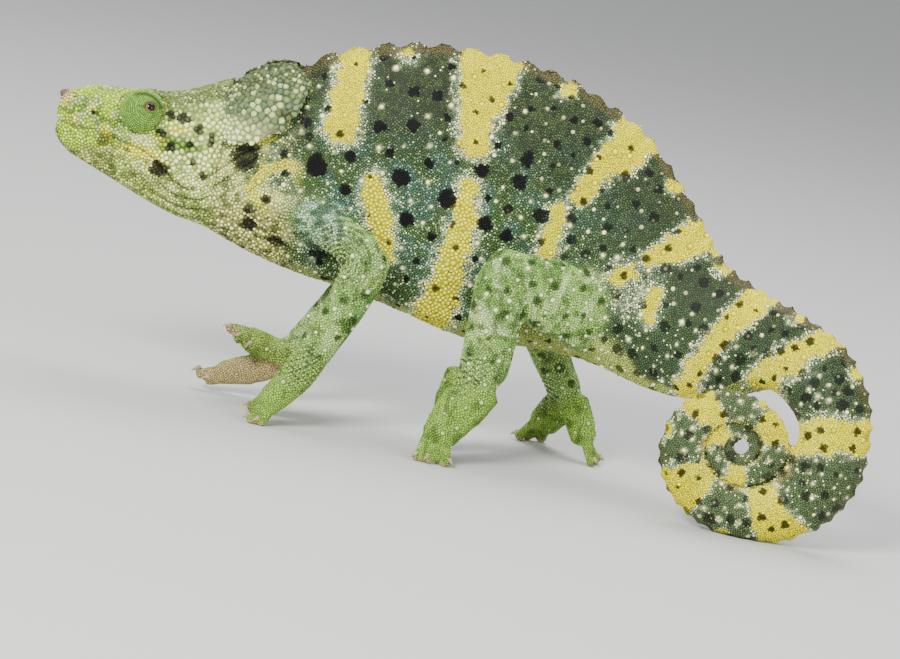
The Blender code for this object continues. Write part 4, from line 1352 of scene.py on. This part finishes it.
def turret_rings():
    """Places of the turrets' granules, in rings round the gaze."""
    found = []
    for eye in EYES.values():
        theta = math.radians(LID_HIGH) * 1.15
        shift = 0.0
        while theta < math.radians(108):
            count = round(2 * math.pi * TURRET_RADIUS * math.sin(theta) / (0.8 * TURRET_PITCH))
            spin = 2 * math.pi * (np.arange(count) + shift) / count
            turn = np.cos(spin)[:, None] * eye["level"] + np.sin(spin)[:, None] * eye["upright"]
            ring = math.cos(theta) * eye["gaze"] + math.sin(theta) * turn
            found.append(eye["centre"] + TURRET_RADIUS * ring)
            theta += TURRET_PITCH / TURRET_RADIUS
            shift = 0.5 - shift
    return np.concatenate(found)


def nearest_others(points, count):
    """Indices and distances of the nearest other points of each point."""
    tree = point_tree(points)
    rows = [tree.find_n(p, count + 1)[1:] for p in points]
    return np.array([[n[1] for n in row] for row in rows]), np.array([[n[2] for n in row] for row in rows])


def same_face(facing, others):
    """True where a neighbour lies on the same face of a thin part, not through it."""
    return np.sum(facing[:, None] * others, 2) > 0.2


def relax(skin, triangle, weights, spacing, held):
    """Push crowded scales apart and draw them back to the skin; the first ones are held."""
    points = skin.at(skin.points, triangle, weights)
    for _ in range(RELAX_ROUNDS):
        normals = skin.at(skin.normals, triangle, weights)
        index, distance = nearest_others(points, 6)
        wanted = 0.54 * (spacing[index] + spacing[:, None])
        push = np.clip(1 - distance / wanted, 0, 1) * 0.55
        push *= same_face(normals, normals[index])
        move = np.sum(push[:, :, None] * (points[:, None] - points[index]), axis=1)
        move[:held] = 0
        triangle, weights = skin.settle(points + move)
        points = skin.at(skin.points, triangle, weights)
    return triangle, weights


def scatter(skin, spots, rng):
    """Places and sizes of all the scales, and how many of them are granules of the turrets or tubercles."""
    ring = skin.settle(turret_rings())
    on_turret = skin.at(skin.fields["turret"], *ring) > 0.5
    ring = [values[on_turret] for values in ring]
    ring_sizes = np.full(len(ring[0]), TURRET_PITCH)
    white = spots["white"]
    inland = white.centres[:, 2] > 8.0
    big = skin.settle(white.centres[inland])
    big_sizes = TUBERCLE_SIZE * white.radii[inland] * ramp(skin.at(skin.body[0], *big), 34.0, 10.0)
    taken = [*zip(skin.at(skin.points, *big), big_sizes), *zip(skin.at(skin.points, *ring), ring_sizes)]
    spacing = scale_spacing(skin)
    off_turret = skin.fields["turret"] < 0.5
    small = skin.sample(DARTS / (ROW_HEIGHT * spacing ** 2) * off_turret, rng)
    need = skin.at(spacing, *small)
    row = skin.at(row_keys(skin), *small) / (ROW_HEIGHT * need)
    order = np.argsort(np.floor(row) + 0.9 * np.abs(2 * (row % 1) - 1))
    kept = throw(skin.at(skin.points, *small), need * CROWDING, order, taken, DART_CELL)
    triangle, weights = (np.concatenate([a, b, c[kept]]) for a, b, c in zip(ring, big, small))
    sizes = np.concatenate([ring_sizes, big_sizes, need[kept]])
    granules, tubercles = len(ring_sizes), len(big_sizes)
    triangle, weights = relax(skin, triangle, weights, sizes, granules + tubercles)
    return triangle, weights, sizes, granules, tubercles


def outlines(scales, own, sides):
    """Corner offsets of the chosen scales in their own planes, stopping short of their neighbours."""
    near = scales.near[own]
    facing = scales.normals[own]
    mine = scales.sizes[own, None]
    offset = scales.points[near] - scales.points[own, None]
    flat = offset - np.sum(offset * facing[:, None], 2, keepdims=True) * facing[:, None]
    first = unit(flat[:, 0])
    second = np.cross(facing, first)
    x = np.sum(flat * first[:, None], 2)
    y = np.sum(flat * second[:, None], 2)
    length = np.maximum(np.hypot(x, y), 1e-6)
    border = 0.5 * (length + ((0.5 * mine) ** 2 - (0.5 * scales.sizes[near]) ** 2) / length)
    border = np.where(same_face(facing, scales.normals[near]), border, NO_BORDER)
    corners = []
    for k in range(sides):
        angle = 2 * math.pi * (k + 0.5) / sides
        along = (x * math.cos(angle) + y * math.sin(angle)) / length
        reach = np.where(along > 0.2, border / np.maximum(along, 0.2), NO_BORDER).min(1)
        reach = np.where(reach > FREE_FROM * mine[:, 0], FREE_SIDE * mine[:, 0], reach)
        reach = np.maximum(reach, LEAST_REACH * mine[:, 0])
        corners.append(reach[:, None] * (math.cos(angle) * first + math.sin(angle) * second))
    return GAP * np.stack(corners, 1)


def scale_mesh(name, scales, own, sides):
    """One closed mesh of many domed scales: a top, a shoulder ring, a root ring and a floor, coloured with a
    painted highlight on the top and painted shade at the root.
    """
    corners = outlines(scales, own, sides)
    points, normals, heights = scales.points[own], scales.normals[own], scales.heights[own]
    flatness, contrast = scales.flatness[own], scales.contrast[own]
    top = points + normals * heights[:, None]
    ring = points[:, None] + corners * (SHOULDER_OUT + 0.05 * flatness)[:, None, None]
    ring = ring + (normals * (heights * (SHOULDER_UP + 0.2 * flatness))[:, None])[:, None]
    root = points[:, None] + corners - normals[:, None] * BASE_SINK
    vertices = np.concatenate([top[:, None], ring, root], 1).reshape(-1, 3)
    count, per = len(own), 2 * sides + 1
    k = np.arange(sides)
    following = (k + 1) % sides
    fan = np.stack([0 * k, 1 + k, 1 + following], 1)
    wall = np.stack([1 + k, 1 + sides + k, 1 + sides + following, 1 + following], 1)
    floor = (1 + sides + k)[::-1]
    one = np.concatenate([fan.ravel(), wall.ravel(), floor])
    loops = (one + per * np.arange(count)[:, None]).ravel()
    totals = np.tile([3] * sides + [4] * sides + [sides], count)
    starts = np.cumsum(totals) - totals
    mesh = bpy.data.meshes.new(name)
    mesh.vertices.add(len(vertices))
    mesh.loops.add(len(loops))
    mesh.polygons.add(len(totals))
    mesh.vertices.foreach_set("co", (vertices * MM).astype(np.float32).ravel())
    mesh.loops.foreach_set("vertex_index", loops.astype(np.int32))
    mesh.polygons.foreach_set("loop_start", starts.astype(np.int32))
    mesh.update(calc_edges=True)
    mesh.shade_smooth()
    # painted light: each scale's top is lightened as a painted highlight, and its root ring and floor are
    # darkened as painted shade between the scales
    shade = np.ones((count, per, 3)) * scales.colours[own, None]
    shade[:, 0] *= (1 + TOP_PAINTED_HIGHLIGHT * contrast)[:, None]
    shade[:, 1 + sides:] *= (1 - np.minimum(ROOT_PAINTED_SHADE * contrast, 0.9))[:, None, None]
    set_colours(mesh, shade.reshape(-1, 3))
    angle = 2 * math.pi * k / sides
    circle = PATCH * np.stack([np.cos(angle), np.sin(angle)], 1)
    patch = np.concatenate([np.zeros((1, 2)), 0.5 * circle, circle])
    set_map(mesh, (scales.sheet[own, None] + patch).reshape(-1, 2)[loops])
    return mesh


def set_colours(mesh, colours):
    """Store linear colours on the vertices as the attribute that the materials read."""
    layer = mesh.color_attributes.new("tint", "FLOAT_COLOR", "POINT")
    rows = np.ones((len(colours), 4), np.float32)
    rows[:, :3] = np.clip(colours, 0, 1)
    layer.data.foreach_set("color", rows.ravel())


def set_map(mesh, values):
    """Give a mesh its map, a place for each loop."""
    layer = mesh.uv_layers.new(name="OFBake")
    layer.data.foreach_set("uv", values.astype(np.float32).ravel())


def eye_openings(points):
    """True for points within the lids, where the eyeball shows."""
    inside = np.zeros(len(points), bool)
    for eye in EYES.values():
        theta, spin, radius = turret_angles(points, eye)
        inside |= (theta < lid_opening(spin) * 1.12) & (radius < 1.6 * TURRET_RADIUS)
    return inside


def make_coat(skin, sheet, spots, rng):
    """Every scale of the coat, painted and joined into pieces by region."""
    triangle, weights, sizes, granules, tubercles = scatter(skin, spots, rng)
    points = skin.at(skin.points, triangle, weights)
    fields = {name: skin.at(value, triangle, weights) for name, value in skin.fields.items()}
    scales = SimpleNamespace(points=points, fields=fields, sizes=sizes, near=nearest_others(points, 9)[0])
    scales.normals = unit(skin.at(skin.normals, triangle, weights))
    scales.body = [skin.at(value, triangle, weights) for value in skin.body]
    scales.sheet = sheet_places(skin, sheet, triangle, weights)
    scales.flatness = np.clip(fields["lobe"] + 0.8 * fields["head"], 0, 1)
    scales.colours, scales.contrast = paint(scales, spots, rng, 1.0)
    heights = DOME * sizes * (0.85 + 0.3 * rng.random(len(points)))
    heights[granules:granules + tubercles] *= 1.15
    torso = 1 - np.clip(fields["limb"] + fields["head"] + fields["lobe"] + fields["turret"], 0, 1)
    edge = torso * ramp(scales.body[1], 0.94, 1.0)
    heights = np.minimum(heights * (1 - 0.45 * scales.flatness) * (1 - 0.75 * edge), COAT_DEPTH + 0.12)
    scales.heights = np.where(fields["turret"] > 0.5, 0.3, heights)
    labels = skin.labels[skin.triangles[triangle, weights.argmax(1)]]
    shown = ~eye_openings(points)
    made = []
    for name, slot, starts, sides in COAT:
        chosen = np.flatnonzero((label_mask(labels, *starts) > 0) & shown)
        chosen = chosen[np.argsort(scales.body[2][chosen], kind="stable")]
        for part, first in enumerate(range(0, len(chosen), COAT_LIMIT)):
            mesh = scale_mesh(name + str(part + 1), scales, chosen[first:first + COAT_LIMIT], sides)
            made.append((mesh, slot))
    return made


# ---------------------------------------------------------------- unwrap of the skin
BODY_STRIP = 0.46        # the body's chart fills this much of the height of the sheet
CHART_COLUMNS = 7        # charts of the other nodes side by side
SEAM_JUMP = 0.05         # corners further apart than this on the sheet lie on two charts


def unwrap(skin):
    """Places of the vertices on one sheet: the body along its length, then each other node in a chart."""
    sheet = np.zeros((len(skin.points), 2))
    u, h, run, lateral = skin.body
    around = np.arctan2(lateral / (0.35 * np.interp(u, BODY.u, BODY.thickness)), 2 * h - 1)
    sheet[:, 0] = 0.02 + 0.96 * run / BODY.run[-1]
    sheet[:, 1] = 0.03 + BODY_STRIP * (0.5 + around / (2 * math.pi))
    others = [i for i, name in enumerate(FLESH) if not name.startswith(("neck", "trunk", "tail"))]
    size = np.array([0.98 / CHART_COLUMNS, (0.93 - BODY_STRIP) / math.ceil(len(others) / CHART_COLUMNS)])
    for place, label in enumerate(others):
        chosen = skin.labels == label
        own = skin.points[chosen]
        middle = own.mean(0)
        axes = np.linalg.svd(own[::5] - middle, full_matrices=False)[2]
        local = (own - middle) @ axes.T
        along = (local[:, 0] - local[:, 0].min()) / np.ptp(local[:, 0])
        turn = 0.5 + np.arctan2(local[:, 2], local[:, 1]) / (2 * math.pi)
        corner = [0.01, BODY_STRIP + 0.06] + size * [place % CHART_COLUMNS, place // CHART_COLUMNS]
        sheet[chosen] = corner + np.stack([along, turn], 1) * (size - 0.012)
    return sheet


def sheet_places(skin, sheet, triangle, weights):
    """Places of scales on the sheet; on a triangle across two charts, that of its nearest corner."""
    values = sheet[skin.triangles[triangle]]
    blended = np.sum(values * weights[:, :, None], axis=1)
    nearest = values[np.arange(len(values)), weights.argmax(1)]
    return np.where((np.ptp(values, axis=1).max(1) > SEAM_JUMP)[:, None], nearest, blended)


def map_skin(mesh, sheet):
    """Give the skin its map, keeping each face's corners together."""
    loops = read_rows(mesh.loops, "vertex_index", 1, np.int32)[:, 0]
    starts = read_rows(mesh.polygons, "loop_start", 1, np.int32)[:, 0]
    totals = read_rows(mesh.polygons, "loop_total", 1, np.int32)[:, 0]
    values = sheet[loops]
    first = np.repeat(values[starts], totals, axis=0)
    apart = np.abs(values - first).max(1) > SEAM_JUMP
    set_map(mesh, np.where(apart[:, None], first + 0.0005 * (values - first), values))


# ---------------------------------------------------------------- materials
PUPIL_RADIUS = 1.6
RING_RADIUS = 2.1        # of the orange ring round the pupil
IRIS_REACH = 4.0         # distance from the gaze at which the eye's colours end


def hide_material(name, roughness, specular):
    """Scaly hide: painted tint, mottled by noise, with pores and a broken sheen."""
    look = Look(name, roughness, specular)
    tint = look.add("Attribute", "Color")
    tint.node.attribute_name = "tint"
    place = look.add("TexCoord", "Object")
    mottle = look.add("TexNoise", "Fac", Vector=place, Scale=900.0, Detail=4.0)
    spread = look.add("MapRange", "Result", Value=mottle, From_Min=0.3, From_Max=0.7,
                      To_Min=0.78, To_Max=1.14)
    toned = look.add("VectorMath", "Vector", tint, operation="SCALE", Scale=spread)
    pores = look.add("TexVoronoi", "Distance", Vector=place, Scale=2600.0)
    bump = look.add("Bump", "Normal", Height=pores, Strength=0.35, Distance=0.00012)
    sheen = look.add("MapRange", "Result", Value=mottle, To_Min=roughness - 0.12, To_Max=roughness + 0.12)
    look.feed(look.shader, Base_Color=toned, Normal=bump, Roughness=sheen)
    return look.material


def horn_material(name, light, dark, scale):
    """Layered horn or claw, with light and dark growth bands and a worn surface."""
    look = Look(name, 0.42, 0.45)
    place = look.add("TexCoord", "Object")
    bands = look.add("TexNoise", "Fac", Vector=place, Scale=scale, Detail=5.0, Roughness=0.65)
    worn = look.add("MapRange", "Result", Value=bands, To_Min=0.3, To_Max=0.6)
    bump = look.add("Bump", "Normal", Height=bands, Strength=0.4, Distance=0.0002)
    tone = look.tones(bands, (0.35, dark), (0.62, light))
    look.feed(look.shader, Base_Color=tone, Normal=bump, Roughness=worn)
    return look.material


def eye_material():
    """Dark eyeball with a black pupil in an orange ring; the ball's own +Z looks out."""
    look = Look("eyeball", 0.12, 0.3)
    place = look.add("TexCoord", "Object")
    flat = look.add("VectorMath", "Vector", place, (1.0, 1.0, 0.0), operation="MULTIPLY")
    reach = look.add("VectorMath", "Value", flat, operation="LENGTH")
    streaks = look.add("TexNoise", "Fac", Vector=place, Scale=1500.0)
    wander = look.add("Math", "Value", streaks, 0.3 * MM, reach, operation="MULTIPLY_ADD")
    share = look.add("MapRange", "Result", Value=wander, From_Max=IRIS_REACH * MM)
    pupil = (PUPIL_RADIUS + 0.15) / IRIS_REACH
    ring = (RING_RADIUS + 0.15) / IRIS_REACH
    tone = look.tones(share, (pupil, (0.004, 0.004, 0.005)), (pupil + 0.03, (0.26, 0.10, 0.03)),
                      (ring - 0.03, (0.28, 0.14, 0.05)), (ring + 0.02, (0.02, 0.025, 0.015)))
    look.feed(look.shader, Base_Color=tone)
    return look.material


# ---------------------------------------------------------------- eyes, horn and claws
# Root and tip of the horn, inside the head and in the air, and radii from root to tip.
HORN_ROOT = np.array([-167.5, 0.0, 109.0])
HORN_END = np.array([-175.6, 0.0, 111.4])
HORN_RADII = [3.4, 3.3, 3.1, 2.9, 2.7, 2.5, 2.2, 1.7, 0.9]
CLAW_RADII = [0.95, 0.9, 0.8, 0.66, 0.5, 0.32, 0.14]
CLAW_SHARE = 0.55        # how much of the solid claw's length shows
CLAW_ARCH = 0.35         # how far its middle is lifted


def put(mesh, name, material, slot, nodes, place=None):
    """Show a mesh as a piece that stands for CAD nodes."""
    mesh.materials.clear()
    mesh.materials.append(material)
    piece = add_object(name, mesh)
    if place is not None:
        piece.matrix_world = place
    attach(piece, "root")
    if nodes:
        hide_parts(*nodes)


def add_eye(side, material):
    """An eyeball with a slightly bulging front, looking along the gaze."""
    eye = EYES[side]
    bm = bmesh.new()
    bmesh.ops.create_uvsphere(bm, u_segments=48, v_segments=32, radius=eye["radius"] * MM)
    for vertex in bm.verts:
        rim = math.hypot(vertex.co.x, vertex.co.y) / MM
        if vertex.co.z > 0 and rim < RING_RADIUS:
            vertex.co.z += 0.12 * MM * (1 - (rim / RING_RADIUS) ** 2)
    mesh = write_mesh(bm, bpy.data.meshes.new("eyeball_" + side))
    mesh.shade_smooth()
    turn = Vector(eye["gaze"]).to_track_quat("Z", "Y").to_matrix().to_4x4()
    place = Matrix.Translation(Vector(eye["ball"] * MM)) @ turn
    put(mesh, "eyeball_" + side, material, "eye", ["eye_" + side], place)


def turned(path, radii, ripple, sides=20, steps=24):
    """Points and faces of a closed horn along a bent path, ringed and a little uneven."""
    place = np.linspace(0, 1, steps)
    centre = catmull(np.asarray(path, float), place * (len(path) - 1))
    ahead = unit(np.gradient(centre, axis=0))
    level = unit(np.cross(ahead, [0.0, 0.0, 1.0]))
    upright = np.cross(level, ahead)
    girth = np.interp(place, np.linspace(0, 1, len(radii)), radii) * (1 + 0.04 * np.sin(place * ripple))
    girth = girth[:, None, None]
    turn = np.linspace(0, 2 * math.pi, sides, endpoint=False)[None, :, None]
    rings = centre[:, None] + girth * (np.cos(turn) * level[:, None] + np.sin(turn) * upright[:, None])
    rings += girth * 0.12 * (value_noise(rings.reshape(-1, 3), 0.9, 31) - 0.5).reshape(steps, sides, 1)
    points = np.concatenate([rings.reshape(-1, 3), centre[:1], centre[-1:] + 0.5 * girth[-1] * ahead[-1:]])
    faces = []
    last = sides * (steps - 1)
    for j in range(sides):
        after = (j + 1) % sides
        faces += [(j + a, after + a, after + a + sides, j + a + sides) for a in range(0, last, sides)]
        faces.append((after, j, len(points) - 2))
        faces.append((last + j, last + after, len(points) - 1))
    return points, faces


def turned_piece(name, parts):
    """Several turned forms as one mesh."""
    points, faces, count = [], [], 0
    for own, sides in parts:
        points.append(own)
        faces += [tuple(i + count for i in face) for face in sides]
        count += len(own)
    mesh = mesh_from(name, np.concatenate(points), faces)
    bm = bmesh.new()
    bm.from_mesh(mesh)
    bmesh.ops.recalc_face_normals(bm, faces=bm.faces)
    write_mesh(bm, mesh).shade_smooth()
    return mesh


def claw(name):
    """A short curved claw along a CAD claw, rooted in its toe."""
    base, points = claw_root(name)
    tip = points[-2:].mean(0)
    middle = base + CLAW_SHARE * (0.5 * (base + tip) + [0.0, 0.0, CLAW_ARCH] - base)
    tip = base + CLAW_SHARE * (tip - base)
    return turned([base - 0.5 * (tip - base), base, middle, tip], CLAW_RADII, 20.0)


# ---------------------------------------------------------------- the whole animal
rng = np.random.default_rng(SEED)
add_camera()
add_stage()
skin_mesh, labels, masks, body = make_skin(Flesh())
fields = region_weights(masks, read_points(skin_mesh), read_normals(skin_mesh), labels)
skin = Skin(skin_mesh, labels, fields, body)
spots = scatter_spots(skin, rng)
sheet = unwrap(skin)
map_skin(skin_mesh, sheet)
coat = make_coat(skin, sheet, spots, rng)
seams, _ = paint(skin, spots, rng, 0.0)
set_colours(skin_mesh, seams)
hide = hide_material("scaly_hide", 0.5, 0.12)
put(skin_mesh, "skin", hide, "body_hide", FLESH)
for mesh, slot in coat:
    put(mesh, mesh.name, hide, slot, [])
eye_look = eye_material()
for side in EYES:
    add_eye(side, eye_look)
horn_look = horn_material("horn_scaly", (0.16, 0.10, 0.065), (0.07, 0.04, 0.025), 420.0)
horn_path = np.array([HORN_ROOT, 0.5 * (HORN_ROOT + HORN_END), HORN_END]) + SHIFT
horn = turned_piece("horn_surface", [turned(horn_path, HORN_RADII, 44.0, 32)])
put(horn, "horn_surface", horn_look, "horn", ["horn"])
claw_look = horn_material("claw_horn", (0.40, 0.30, 0.19), (0.18, 0.12, 0.07), 700.0)
for foot in ("front_left", "front_right", "hind_left", "hind_right"):
    nodes = sorted(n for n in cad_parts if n.startswith("claw_" + foot))
    name = "claws_" + foot
    put(turned_piece(name, [claw(node) for node in nodes]), name, claw_look, "claw", nodes)
